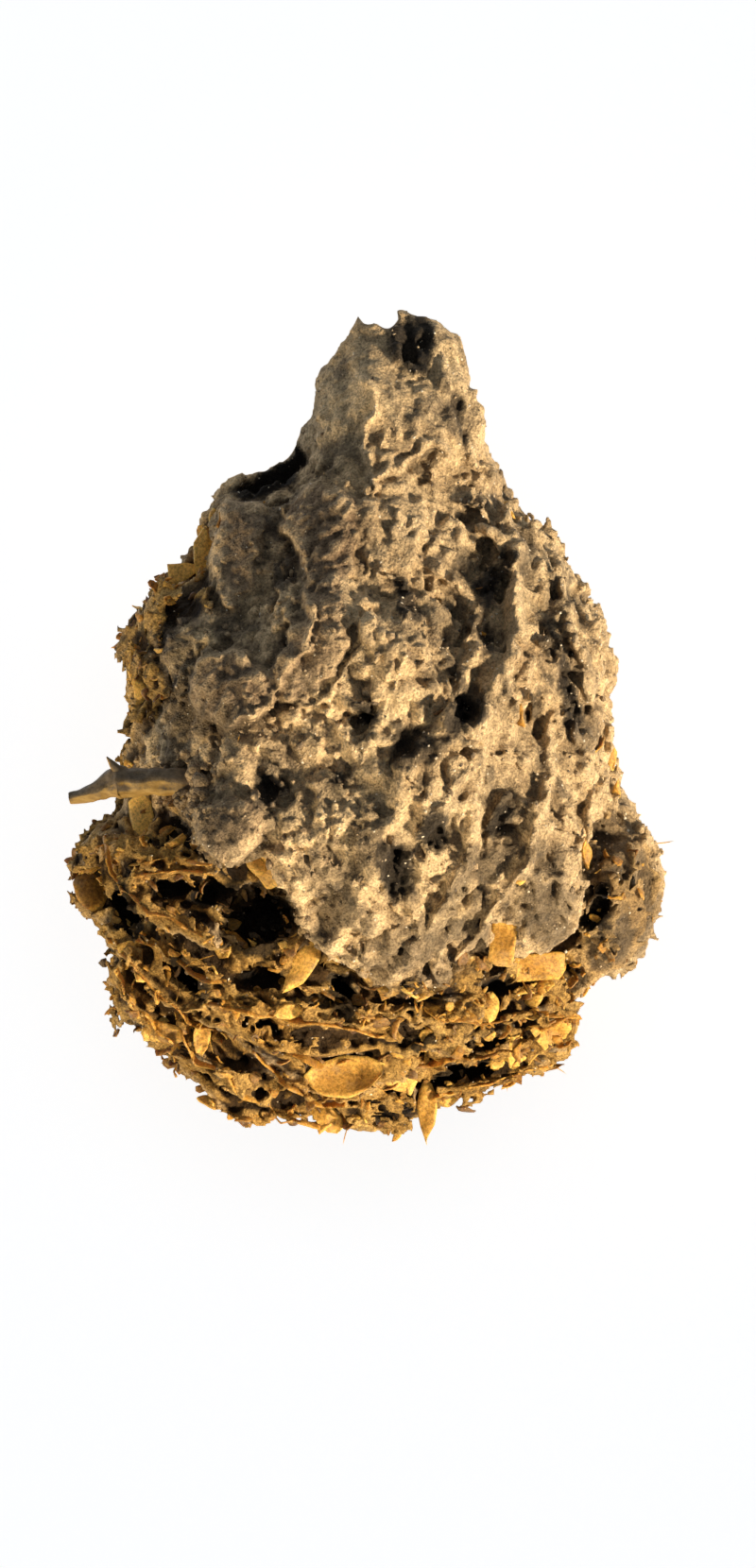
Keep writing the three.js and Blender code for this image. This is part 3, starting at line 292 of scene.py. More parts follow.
def noise(points, size, seed):
    """Smooth noise from -1 to 1 at each row of points, with lumps of the given size (or sizes by axis)."""
    cells = 32
    random = np.random.default_rng(seed)
    lattice = random.uniform(-1, 1, (cells, cells, cells)).astype(np.float32)
    turn = np.linalg.qr(random.normal(size=(3, 3)))[0].astype(np.float32)
    q = (points / np.asarray(size, np.float32)) @ turn + np.float32(seed * 3.7 % 11)
    base = np.floor(q).astype(np.int32)
    t = (q - base).astype(np.float32)
    return corner_blend(lattice, base % cells, (base + 1) % cells, t * t * (3 - 2 * t))


def to_segments(x, y, path, closed=False):
    """The distance from each point (x, y) to a path."""
    nearest = np.full(x.shape, 1e9)
    ends = list(zip(path, path[1:] + path[:1] if closed else path[1:]))
    for (ax, ay), (bx, by) in ends:
        dx, dy = bx - ax, by - ay
        t = np.clip(((x - ax) * dx + (y - ay) * dy) / (dx * dx + dy * dy), 0, 1)
        nearest = np.minimum(nearest, np.hypot(x - ax - t * dx, y - ay - t * dy))
    return nearest


def depth_inside(x, y, outline):
    """The distance from each point to an outline, positive inside it."""
    inside = np.zeros(x.shape, bool)
    for (ax, ay), (bx, by) in zip(outline, outline[1:] + outline[:1]):
        if ay == by:
            continue
        inside ^= ((ay > y) != (by > y)) & (x < ax + (y - ay) * (bx - ax) / (by - ay))
    distance = to_segments(x, y, outline, closed=True)
    return np.where(inside, distance, -distance)


def rounded(outline, rounds=2):
    """The outline with its corners cut off, a few times over."""
    knots = np.array(outline, float)
    for _ in range(rounds):
        after = np.roll(knots, -1, axis=0)
        knots = np.stack([0.75 * knots + 0.25 * after, 0.25 * knots + 0.75 * after], 1).reshape(-1, 2)
    return [tuple(knot) for knot in knots.tolist()]


def turned(x, y, cx, cy, degrees):
    """Coordinates along and across a line through (cx, cy) that is turned by degrees from +X."""
    c, s = math.cos(math.radians(degrees)), math.sin(math.radians(degrees))
    return (x - cx) * c + (y - cy) * s, (y - cy) * c - (x - cx) * s


def unit(vector):
    return vector / np.linalg.norm(vector)


def blurred(field, reach):
    """A box blur, done twice, over reach voxels to each side."""
    width = 2 * reach + 1
    for _ in range(2):
        for axis in range(field.ndim):
            pad = [(0, 0)] * field.ndim
            pad[axis] = (reach + 1, reach)
            summed = np.cumsum(np.pad(field, pad, mode="edge"), axis=axis, dtype=np.float32)
            upper = np.take(summed, range(width, summed.shape[axis]), axis=axis)
            lower = np.take(summed, range(0, summed.shape[axis] - width), axis=axis)
            field = (upper - lower) / width
    return field


# ---- the solid as a volume


def read(items, name, width=3, kind=np.float32):
    """One property of all items of a mesh, as an array."""
    values = np.empty(len(items) * width, kind)
    items.foreach_get(name, values)
    return values.reshape(-1, width) if width > 1 else values


def store(obj, name, values):
    """Keeps one number for each point of a mesh, for its material to read."""
    obj.data.attributes.new(name, "FLOAT", "POINT").data.foreach_set("value", values.astype(np.float32))


def mesh_arrays(obj):
    """A mesh object's points in millimetres, and its triangles."""
    mesh = obj.data
    mesh.calc_loop_triangles()
    triangles = read(mesh.loop_triangles, "vertices", kind=np.int32)
    return read(mesh.vertices, "co") / MM, triangles.astype(np.uint32)


def top_voxel(volume):
    """The highest voxel inside the surface over each (x, y)."""
    return volume.shape[2] - 1 - np.argmax(volume[:, :, ::-1] < 0, axis=2)


points, triangles = mesh_arrays(frame["nodes"]["dung_lump"])
first = np.floor((points.min(0) - MARGIN) / VOXEL).astype(int)
last = np.ceil((points.max(0) + MARGIN) / VOXEL).astype(int)
grid = openvdb.FloatGrid.createLevelSetFromPolygons(
    points,
    triangles=triangles,
    transform=openvdb.createLinearTransform(voxelSize=VOXEL),
    halfWidth=BAND / VOXEL + 2,
)
field = np.zeros(last - first + 1, np.float32)
grid.copyToArray(field, ijk=tuple(int(n) for n in first))
field = blurred(field, 2)
plain = field.copy()

xs, ys, zs = [(first[n] + np.arange(field.shape[n])) * VOXEL for n in range(3)]
X2, Y2 = np.meshgrid(xs, ys, indexing="ij")

top_height = np.where((field < 0).any(axis=2), zs[top_voxel(field)], BESIDE_HEIGHT)


def block_round(middle, reach):
    """The part of the volume within reach of a point on each axis, and its coordinates."""
    axes = xs, ys, zs
    block = tuple(slice(*np.searchsorted(v, (m - reach, m + reach))) for v, m in zip(axes, middle))
    return block, np.meshgrid(*[v[part] for v, part in zip(axes, block)], indexing="ij")


# ---- relief as maps over (x, y)

flat_points = np.stack([X2.ravel(), Y2.ravel(), np.zeros(X2.size)], 1).astype(np.float32)


def noise2(size, seed):
    """Noise over the plan."""
    return noise(flat_points, size, seed).reshape(X2.shape)


wobble_x = 0.5 * noise2(1.9, 31) + 0.3 * noise2(0.8, 33)
wobble_y = 0.5 * noise2(1.9, 32) + 0.3 * noise2(0.8, 34)
XW, YW = X2 + wobble_x, Y2 + wobble_y


def oval(x, y, long, wide, turn):
    """Each point's distance from an oval's middle, squared, with 1 on the oval."""
    along, across = turned(XW, YW, x, y, turn)
    return (along / (long / 2)) ** 2 + (across / (wide / 2)) ** 2


# a 2 at the end of a name marks a map over (x, y)
broken2 = np.zeros(X2.shape)
for share, outline in BROKEN_PATCHES:
    broken2 = np.maximum(broken2, share * smooth(-0.3, 0.3, depth_inside(XW, YW, outline)))
plate2, groove2 = np.zeros(X2.shape), np.zeros(X2.shape)
for outline in PLATES:
    inside = depth_inside(XW, YW, rounded(outline)) + 0.3 * noise2(0.9, 38) + 0.2 * noise2(0.45, 39)
    plate2 = np.maximum(plate2, smooth(-0.15, 0.25, inside))
    groove2 = np.maximum(groove2, smooth(-1.1, -0.3, inside))
groove2 *= (1 - plate2) * smooth(-0.5, 0.2, noise2(3.0, 37))

map2 = 0.5 * plate2 - 0.35 * groove2
# pit2 marks where the crust is painted near black: painted shade in grooves, pits and scars, and the dirt
# patches
pit2 = 0.7 * groove2
rough2 = 0.7 * noise2(1.1, 35) + 0.55 * noise2(0.5, 36)
for *place, depth in PITS:
    off = oval(*place) + rough2
    map2 += PIT_GAIN * depth * smooth(1.3, 0.1, off)
    # a pit is painted darker the deeper it is: painted shade
    pit2 = np.maximum(pit2, smooth(0.9, 0.25, off) * min(1, 0.2 + depth / 2))
for *place, strength in DIRT:
    pit2 = np.maximum(pit2, strength * smooth(1.35, 0.45, oval(*place) + 1.1 * rough2))
# the black of the scars and hollows is painted shade
shade_black2 = np.zeros(X2.shape)
for depth, shade_black, outline in SCARS:
    off = depth_inside(XW, YW, outline) + 0.3 * rough2
    map2 -= depth * smooth(-0.25, 0.75, off)
    pit2 = np.maximum(pit2, smooth(-0.1, 0.5, off))
    shade_black2 = np.maximum(shade_black2, shade_black * smooth(-0.1, 0.5, off))
for half, height, path in CRESTS:
    off = np.clip(to_segments(XW, YW, path) / half, 0, 1)
    map2 += CREST_GAIN * height * (1 - off * off) ** 2

# the hollows are painted black inside: painted shade
for x, y, _, radii, turn in HOLLOWS:
    shade_black2 = np.maximum(shade_black2, smooth(1.2, 0.7, oval(x, y, 2 * radii[0], 2 * radii[1], turn)))

ledge2 = np.zeros(X2.shape)
for path in LEDGES:
    off = to_segments(X2 + 0.8 * wobble_x, Y2 + 0.8 * wobble_y, path)
    ledge2 = np.maximum(ledge2, np.clip(1 - off / 0.45, 0, 1) ** 0.7)

# cracks of the clay-like patches: the edges between the cells round scattered points
rng = np.random.default_rng(5)
seeds = rng.uniform([-15, -7], [1, 22], (CRACKS, 2))
nearest, second = np.full(X2.shape, 1e9), np.full(X2.shape, 1e9)
for sx, sy in seeds:
    distance = np.hypot(XW - sx, YW - sy)
    second = np.minimum(second, np.maximum(nearest, distance))
    nearest = np.minimum(nearest, distance)
crack2 = (1 - smooth(0.05, 0.3, second - nearest)) * plate2
map2 -= 0.16 * crack2

# ---- carving

near = np.flatnonzero(np.abs(field.ravel()) < BAND)
voxels = np.stack(np.unravel_index(near, field.shape))
kept = ((voxels > 1) & (voxels < np.array(field.shape)[:, None] - 2)).all(axis=0)
near, (i, j, k) = near[kept], voxels[:, kept]
here = np.stack([xs[i], ys[j], zs[k]], 1).astype(np.float32)


def slope(i, j, k):
    """How far the smooth solid faces up at a voxel: -1 is down, 1 is up."""
    return (plain[i, j, k + 1] - plain[i, j, k - 1]) / (2 * VOXEL)


upper = smooth(0.0, 0.4, slope(i, j, k))
level = smooth(0.3, 1.6, here[:, 2])  # fades all relief near the flat spot


def broken_share(points, in_plan, up):
    """How far the inside shows: by the plan on top, and round the end and the left flank below it."""
    ragged = points[:, :2] + 1.5 * noise(points, 5.0, 40)[:, None]
    left = smooth(-12.0, -15.0, ragged[:, 0]) * smooth(21, 18, ragged[:, 1])
    flank = np.maximum(smooth(-12.5, -16.5, ragged[:, 1]), left)
    return np.maximum(in_plan * up, flank * smooth(1.5, 6.0, points[:, 2]) * (1 - up))


broken = broken_share(here, broken2[i, j], upper)
plate = plate2[i, j] * upper
sandy = (1 - broken) * (1 - 0.8 * plate)

relief = map2[i, j] * upper * (1 - 0.6 * broken)
warped = here + 0.6 * np.stack([noise(here, 1.9, seed) for seed in (81, 82, 83)], 1)


def clods(size, seed):
    """Rounded lumps of about the given size, with creases between them."""
    return np.abs(noise(warped, size, seed)) - 0.24


# the crust: clods, streaks that run down the right side, small pits and grain
crust = 0.5 * noise(here, 3.3, 1) + 0.32 * noise(warped, 1.6, 26)
crust += 0.55 * clods(2.2, 2) + 0.55 * clods(1.15, 21) + 0.5 * clods(0.62, 22)
streak_along, streak_across = turned(warped[:, 0], warped[:, 1], 0, 0, STREAK_TURN)
right = smooth(-3, 4, here[:, 0])
for wide, high, seed in ((0.95, 0.4, 3), (0.55, 0.45, 27)):
    streak_points = np.stack([streak_along / 3.4, streak_across, here[:, 2] / 1.6], 1).astype(np.float32)
    crust += high * right * noise(streak_points, wide, seed)
crust -= 0.25 * right * smooth(0.3, 0.7, noise(warped, 1.4, 4))
crust -= 0.15 * right * smooth(0.25, 0.6, noise(warped, 0.75, 5))
crust += 0.18 * noise(here, 0.42, 6) + 0.12 * noise(here, 0.3, 7)
crust += pit2[i, j] * upper * (0.5 * clods(1.3, 28) + 0.4 * clods(0.7, 29))
low_crust = 0.3 * clods(0.85, 41) + 0.1 * noise(here, 0.42, 42)
crust += smooth(3, -5, here[:, 1]) * (low_crust - 0.3 * smooth(0.2, 0.6, noise(warped, 1.0, 43)))
slender = 1 - 0.62 * smooth(17, 30, here[:, 1])  # the tip is less rough
relief += sandy * slender * crust
fine_mud = 0.26 * clods(0.7, 25) + 0.16 * noise(here, 0.42, 24) + 0.12 * noise(here, 0.3, 10)
relief += plate * (0.16 * noise(here, 2.2, 8) + 0.24 * clods(1.5, 9) + fine_mud)


def strata(points):
    """Thin walls that wind along the broken layers, large and small ones, from 0 to 1."""
    dx, dy = points[:, 0] - AXIS_OF_LAYERS[0], points[:, 1] - AXIS_OF_LAYERS[1]
    out = np.hypot(dx, dy) + 0.45 * points[:, 2] + 1.0 * noise(points, 3.5, 11)
    around = np.arctan2(dx, -dy) * LAYER_TURN
    place = np.stack([out, around, points[:, 2]], 1).astype(np.float32)
    wide = np.abs(noise(place, (1.4, 6.0, 3.4), 12) + 0.3 * noise(points, 0.8, 13))
    slim = np.abs(noise(place, (0.65, 2.8, 1.6), 14) + 0.25 * noise(points, 0.45, 15))
    return smooth(0.24, 0.02, wide), smooth(0.22, 0.02, slim)


# the broken end: winding walls of thin layers, with crumbs and holes between them
walls, slim_walls = strata(here)
crumbs = 0.6 * clods(1.1, 16) + 0.5 * clods(0.55, 17) + 0.2 * noise(here, 0.32, 18)
flat_lying = warped * np.float32((0.6, 1.2, 1.0))
holes = 1.1 * smooth(0.28, 0.6, noise(flat_lying, 1.5, 19))
holes = holes + 0.45 * smooth(0.3, 0.6, noise(flat_lying, 0.8, 23))
wall_height = 0.75 + 0.5 * upper
relief += broken * (wall_height * (walls - 0.4) + 0.4 * slim_walls + crumbs - holes * (1 - 0.7 * walls))
relief += broken * upper * 0.6 * ledge2[i, j]

flat_field = field.reshape(-1)
flat_field[near] -= relief * level

# hollows
for x, y, under, radii, turn in HOLLOWS:
    z = top_height[np.searchsorted(xs, x), np.searchsorted(ys, y)] - under
    block, (bx, by, bz) = block_round((x, y, z), max(radii) + 1)
    along, across = turned(bx, by, x, y, turn)
    rough = noise(np.stack([bx.ravel(), by.ravel(), bz.ravel()], 1).astype(np.float32), 0.9, 20)
    ball = np.sqrt((along / radii[0]) ** 2 + (across / radii[1]) ** 2 + ((bz - z) / radii[2]) ** 2)
    field[block] = np.maximum(field[block], (1 + 0.4 * rough.reshape(bx.shape) - ball) * min(radii))

# each large flake lies free: nothing of the lump stands over it
flake_names = sorted(set(frame["nodes"]) - {"dung_lump", "straw"})
plate_frames = {}
for name in flake_names:
    at, _ = mesh_arrays(frame["nodes"][name])
    centre = at.mean(0)
    _, _, axes = np.linalg.svd(at - centre, full_matrices=False)
    if axes[2, 2] < 0:
        axes[2] *= -1
    if np.linalg.det(axes) < 0:
        axes[1] *= -1
    local = (at - centre) @ axes.T
    ahead, behind = local[local[:, 0] > 0, 1], local[local[:, 0] < 0, 1]
    if FLAKES[name][0] in ("glume", "wedge") and np.ptp(ahead) > np.ptp(behind):
        axes[:2] *= -1
        local = (at - centre) @ axes.T
    long, wide = np.ptp(local[:, 0]), np.ptp(local[:, 1])
    u, v = local[:, 0] / (long / 2), local[:, 1] / (wide / 2)
    shape = np.stack([np.ones(len(u)), 1 - u * u, 1 - v * v], 1)
    fit = np.linalg.lstsq(shape, local[:, 2], rcond=None)[0]
    middle = centre + axes[2] * fit[0] + axes[0] * (local[:, 0].min() + local[:, 0].max()) / 2
    plate_frames[name] = middle, axes, long, wide, fit[1:]
    block, corners = block_round(middle, long / 2 + 2.5)
    from_middle = np.stack(corners, -1) - middle
    along, across, off = [from_middle @ axis for axis in axes]
    bowed = fit[1] * (1 - (2 * along / long) ** 2) + fit[2] * (1 - (2 * across / wide) ** 2)
    sideways = np.minimum(long / 2 + FLAKE_GAP - np.abs(along), wide / 2 + FLAKE_GAP - np.abs(across))
    cut = np.minimum(np.minimum(sideways, off - bowed - 0.02), OPEN_HEIGHT - off)
    field[block] = np.maximum(field[block], cut)

for x, y, radius in BITES:
    bite2 = radius - np.hypot(XW - x, YW - y)
    field = np.maximum(field, bite2[:, :, None].astype(np.float32))

# it stands on the floor, and stays about as high as the solid
ceiling2 = points[:, 2].max() + CEILING_RISE - 0.3 + 0.4 * rough2
field = np.maximum(field, -zs.astype(np.float32))
field = np.maximum(field, (zs - ceiling2[:, :, None]).astype(np.float32))
hollow_field = blurred(field, 3)
wide_field = blurred(field, 8)

carved = openvdb.FloatGrid(background=BAND)
carved.copyFromArray(np.clip(field, -BAND, BAND), ijk=tuple(int(n) for n in first))
carved.transform = openvdb.createLinearTransform(voxelSize=VOXEL)
body_points, body_tris, body_quads = carved.convertToPolygons(isovalue=0.0, adaptivity=0.0)


def largest_shell(points, quads, tris):
    """The mesh without crumbs that hang free of its largest shell, and without closed bubbles."""
    edges = [faces[:, n : n + 2] for faces, sides in ((quads, 3), (tris, 2)) for n in range(sides)]
    a, b = np.concatenate(edges).astype(np.int64).T
    label = np.arange(len(points))
    while True:
        low = np.minimum(label[a], label[b])
        if (label[a] == label[b]).all():
            break
        np.minimum.at(label, label[a], low)
        np.minimum.at(label, label[b], low)
        for _ in range(3):
            label = label[label]
    names, sizes = np.unique(label, return_counts=True)
    kept = label == names[np.argmax(sizes)]
    index = np.cumsum(kept) - 1
    return points[kept], index[quads[kept[quads[:, 0]]]], index[tris[kept[tris[:, 0]]]]


body_points, body_quads, body_tris = largest_shell(body_points, body_quads, body_tris)


def sample(volume, at):
    """The volume's value at each point, from the eight voxels round it."""
    q = (at - first * VOXEL) / VOXEL
    base = np.clip(np.floor(q).astype(int), 0, np.array(volume.shape) - 2)
    return corner_blend(volume, base, base + 1, q - base)


NO_QUADS, NO_TRIS = np.zeros((0, 4), int), np.zeros((0, 3), int)


def fast_object(name, points, quads, tris):
    """A mesh object from points in millimetres, and arrays of quads and triangles."""
    mesh = bpy.data.meshes.new(name)
    mesh.vertices.add(len(points))
    mesh.vertices.foreach_set("co", (np.asarray(points, np.float32) * MM).ravel())
    loops = np.concatenate([quads.ravel(), tris.ravel()]).astype(np.int32)
    mesh.loops.add(len(loops))
    mesh.loops.foreach_set("vertex_index", loops)
    starts = np.concatenate([np.arange(len(quads)) * 4, len(quads) * 4 + np.arange(len(tris)) * 3])
    mesh.polygons.add(len(starts))
    mesh.polygons.foreach_set("loop_start", starts.astype(np.int32))
    mesh.update(calc_edges=True)
    mesh.validate()
    obj = bpy.data.objects.new(name, mesh)
    bpy.context.scene.collection.objects.link(obj)
    return obj


body = fast_object("carved_lump", body_points, body_quads[:, ::-1], body_tris[:, ::-1])


def give_masks(obj):
    """Stores where a surface is broken, clay-like, hollow or on an edge, for its material to read; the
    material paints shade into the hollows and a highlight onto the edges.
    """
    at = read(obj.data.vertices, "co") / MM
    i, j, k = np.clip(np.round(at / VOXEL).astype(int) - first, 1, np.array(field.shape) - 2).T
    up, not_under = smooth(0.0, 0.4, slope(i, j, k)), smooth(-0.35, 0.0, slope(i, j, k))
    curl = sample(hollow_field, at)
    walls, slim_walls = strata(at)
    masks = {
        "broken": broken_share(at, broken2[i, j], up),
        "wall": np.maximum(walls, 0.7 * slim_walls),
        "clay": plate2[i, j] * up,
        "edge": smooth(0.02, 0.36, curl),
        "dip_dirt_and_shade": smooth(0.02, 0.4, -curl),
        "deep": smooth(0.15, 1.1, -sample(wide_field, at)),
        "pit_shade_and_dirt": pit2[i, j] * not_under,
        "shade_black": shade_black2[i, j] * not_under,
        "streak": smooth(-5, 3, at[:, 0]),
    }
    for name, values in masks.items():
        store(obj, name, values)


give_masks(body)

# ---- materials


class Nodes:
    """Short ways to add nodes to one material."""

    def __init__(self, name):
        self.material = bpy.data.materials.new(name)
        self.material.use_nodes = True
        self.tree = self.material.node_tree
        self.shader = self.tree.nodes["Principled BSDF"]

    def link(self, value, socket):
        if isinstance(value, bpy.types.NodeSocket):
            self.tree.links.new(value, socket)
        else:
            socket.default_value = value

    def node(self, kind, inputs=(), **settings):
        """A new node, with its settings and a value or a link for each named input."""
        node = self.tree.nodes.new("ShaderNode" + kind)
        for name, value in settings.items():
            setattr(node, name, value)
        for name, value in dict(inputs).items():
            self.link((*value, 1) if kind == "Mix" and isinstance(value, tuple) else value, node.inputs[name])
        return node

    def attribute(self, name):
        return self.node("Attribute", attribute_name=name).outputs["Fac"]

    def noise(self, scale, detail=4.0, rough=0.6, stretch=None, turn=None):
        """Noise, denser by stretch on each axis, or drawn out by it along a line turned from +X."""
        place = self.node("TexCoord").outputs["Object"]
        if stretch:
            kind, angle = ("POINT", 0) if turn is None else ("TEXTURE", math.radians(turn))
            inputs = {"Vector": place, "Scale": stretch, "Rotation": (0, 0, angle)}
            place = self.node("Mapping", inputs, vector_type=kind).outputs["Vector"]
        inputs = {"Vector": place, "Scale": scale, "Detail": detail, "Roughness": rough}
        return self.node("TexNoise", inputs).outputs["Fac"]

    def cells(self, scale):
        place = self.node("TexCoord").outputs["Object"]
        return self.node("TexVoronoi", {"Vector": place, "Scale": scale}).outputs["Distance"]

    def math(self, kind, a, b=0.0, c=0.0):
        return self.node("Math", {0: a, 1: b, 2: c}, operation=kind).outputs[0]

    def times(self, a, b):
        return self.math("MULTIPLY", a, b)

    def ramp(self, value, stops):
        node = self.node("ValToRGB", {"Fac": value})
        ramp = node.color_ramp
        for n, (at, color) in enumerate(stops):
            stop = ramp.elements[n] if n < 2 else ramp.elements.new(at)
            stop.position = at
            stop.color = (*color, 1) if isinstance(color, tuple) else (color, color, color, 1)
        return node.outputs["Color"]

    def mix(self, share, a, b, kind="MIX"):
        return self.node("Mix", {"Factor": share, 6: a, 7: b}, data_type="RGBA", blend_type=kind).outputs[2]

    def bump(self, height, distance, strength=1.0, normal=None):
        inputs = {"Height": height, "Distance": distance * MM, "Strength": strength}
        if normal is not None:
            inputs["Normal"] = normal
        return self.node("Bump", inputs).outputs["Normal"]

    def finish(self, color, rough, normal=None, specular=0.5):
        self.link((*color, 1) if isinstance(color, tuple) else color, self.shader.inputs["Base Color"])
        self.link(rough, self.shader.inputs["Roughness"])
        self.shader.inputs["Specular IOR Level"].default_value = specular
        if normal is not None:
            self.tree.links.new(normal, self.shader.inputs["Normal"])
        return self.material


SAND_NOISE = (5200, 2, 0.7)  # scale, detail and roughness of the finest grain
SPECK_NOISE = (1900, 3, 0.75)


def dung_material():
    n = Nodes("dung")
    patches = n.noise(170, 5, 0.62)
    tint = n.noise(75, 3, 0.55)
    speckle = n.noise(*SPECK_NOISE)
    sand = n.noise(*SAND_NOISE)
    grains = n.cells(4200)
    broken, edge, clay = n.attribute("broken"), n.attribute("edge"), n.attribute("clay")
    # the dusty crust: tan, with greyer stretches
    tans = (0.38, 0.265, 0.145), (0.68, 0.5, 0.285), (0.78, 0.595, 0.35)
    crust = n.ramp(patches, zip((0.3, 0.5, 0.7), tans))
    grey = n.ramp(patches, [(0.3, (0.26, 0.2, 0.13)), (0.7, (0.56, 0.43, 0.265))])
    crust = n.mix(n.ramp(tint, [(0.5, 0.0), (0.66, 0.55)]), crust, grey)
    # clay-like patches, browner
    mud = n.ramp(patches, [(0.3, (0.19, 0.13, 0.08)), (0.7, (0.36, 0.26, 0.16))])
    crust = n.mix(n.times(clay, 0.9), crust, mud)
    soil = n.ramp(n.noise(330, 6, 0.72), [(0.51, 0.0), (0.63, 0.66)])
    crust = n.mix(soil, crust, (0.085, 0.07, 0.055))
    # convex edges of the crust are painted paler: a painted highlight
    crust = n.mix(n.times(edge, 0.55), crust, (0.78, 0.58, 0.34))
    # the broken inside: dark, with golden-brown rims on the layers' walls and a painted highlight on its
    # edges
    browns = (0.014, 0.008, 0.003), (0.042, 0.023, 0.008), (0.115, 0.064, 0.021)
    inside = n.ramp(patches, zip((0.3, 0.5, 0.7), browns))
    tan = n.ramp(n.noise(260, 4, 0.6), [(0.4, (0.35, 0.19, 0.045)), (0.62, (0.56, 0.37, 0.14))])
    rims = n.ramp(speckle, [(0.32, (0.18, 0.092, 0.022)), (0.68, (0.66, 0.41, 0.115))])
    rims = n.mix(0.5, rims, tan)
    rim_share = n.math("MULTIPLY_ADD", n.attribute("wall"), 0.35, n.times(edge, 0.75))
    inside = n.mix(n.ramp(rim_share, [(0.32, 0.0), (0.95, 0.95)]), inside, rims)
    color = n.mix(broken, crust, inside)
    # pits, scars, grooves and dirt patches are painted a near-black blue-grey: painted shade in the pits,
    # scars and grooves, dirt in the patches
    color = n.mix(n.times(n.attribute("pit_shade_and_dirt"), 0.9), color, (0.02, 0.019, 0.02))
    # hollows of the surface are painted dark brown: painted shade, with dirt
    color = n.mix(n.times(n.attribute("dip_dirt_and_shade"), 0.42), color, (0.06, 0.04, 0.022))
    # deep hollows, more so in the broken end, are painted near black: painted shade
    recess_shade = n.times(n.attribute("deep"), n.math("MULTIPLY_ADD", broken, 0.55, 0.3))
    color = n.mix(recess_shade, color, (0.010, 0.008, 0.007))
    # scars and hollows are painted black: painted shade
    color = n.mix(n.times(n.attribute("shade_black"), 0.92), color, (0.008, 0.006, 0.004))
    # mineral grains: dark and pale specks
    specks = n.ramp(speckle, [(0.32, (0.72, 0.7, 0.68)), (0.5, 1.0), (0.68, (1.18, 1.17, 1.14))])
    color = n.mix(1.0, color, specks, "MULTIPLY")
    dots = n.ramp(sand, [(0.34, (0.62, 0.6, 0.58)), (0.5, 1.0), (0.66, (1.35, 1.33, 1.28))])
    color = n.mix(1.0, color, dots, "MULTIPLY")
    height = n.math("ADD", n.times(sand, 0.6), n.times(grains, 0.7))
    normal = n.bump(height, 0.11, 1.0)
    normal = n.bump(speckle, 0.26, 1.0, normal)
    drawn_out = n.noise(1500, 5, 0.7, (3.2, 0.8, 1.2), STREAK_TURN)
    normal = n.bump(n.times(drawn_out, n.attribute("streak")), 0.45, 1.0, normal)
    normal = n.bump(n.noise(800, 6, 0.75), 0.35, 0.9, normal)
    return n.finish(color, 0.93, normal, 0.25)


body.data.materials.append(dung_material())
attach(body, "root")
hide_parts("dung_lump")


def plant_material(name, dark, mid, pale, rough, through):
    """A waxy plant skin, its tone set piece by piece, with dust and sand on it, and a faint painted glow."""
    n = Nodes(name)
    shade = n.noise(1300, 4, 0.6)
    stripes = n.noise(500, 3, 0.6, (1.0, 3.0, 1.0))
    tone = n.math("ADD", n.times(shade, 0.3), n.times(n.attribute("tone"), 0.55))
    tone = n.math("MULTIPLY_ADD", stripes, 0.25, tone)
    color = n.ramp(tone, [(0.3, dark), (0.55, mid), (0.85, pale)])
    dust_place = n.math("MULTIPLY_ADD", n.attribute("tone"), -0.14, n.noise(420, 5, 0.75))
    dust = n.ramp(dust_place, [(0.42, 0.0), (0.62, 0.75)])
    color = n.mix(dust, color, (0.24, 0.16, 0.085))
    specks = n.ramp(n.noise(*SAND_NOISE), [(0.36, 0.62), (0.5, 1.0), (0.68, 1.3)])
    color = n.mix(1.0, color, specks, "MULTIPLY")
    normal = n.bump(n.noise(2400, 4, 0.65), 0.07, 0.8)
    n.shader.inputs["Subsurface Weight"].default_value = through
    n.shader.inputs["Subsurface Radius"].default_value = (0.0009, 0.0004, 0.0001)
    n.shader.inputs["Subsurface Scale"].default_value = 0.5
    n.link(color, n.shader.inputs["Emission Color"])
    n.shader.inputs["Emission Strength"].default_value = 0.06  # painted glow: the skin glows a little, in place of light that seeps through it
    return n.finish(color, rough, normal, 0.28)


bran_tones = (0.08, 0.034, 0.007), (0.4, 0.2, 0.032), (0.76, 0.46, 0.11)
bran = plant_material("bran", *bran_tones, rough=0.58, through=0.2)

# ---- flakes and straw


def sheet_quads(rows, columns):
    """Quads of a closed plate made of two grids of points, upper and lower, and which are smooth."""
    count = rows * columns
    index = np.arange(count).reshape(rows, columns)
    top = np.stack([index[:-1, :-1], index[1:, :-1], index[1:, 1:], index[:-1, 1:]], -1).reshape(-1, 4)
    loop = np.concatenate([index[:, 0], index[-1, 1:], index[-2::-1, -1], index[0, -2:0:-1]])
    after = np.roll(loop, -1)
    wall = np.stack([loop, loop + count, after + count, after], -1)
    quads = np.concatenate([top, top[:, ::-1] + count, wall])
    return quads, np.arange(len(quads)) < 2 * len(top)


def tube_quads(rings, sides):
    """Quads that join rings of points one after another."""
    index = np.arange(rings * sides).reshape(rings, sides)
    after = np.roll(index, -1, axis=1)
    return np.stack([index[:-1], after[:-1], after[1:], index[1:]], -1).reshape(-1, 4)


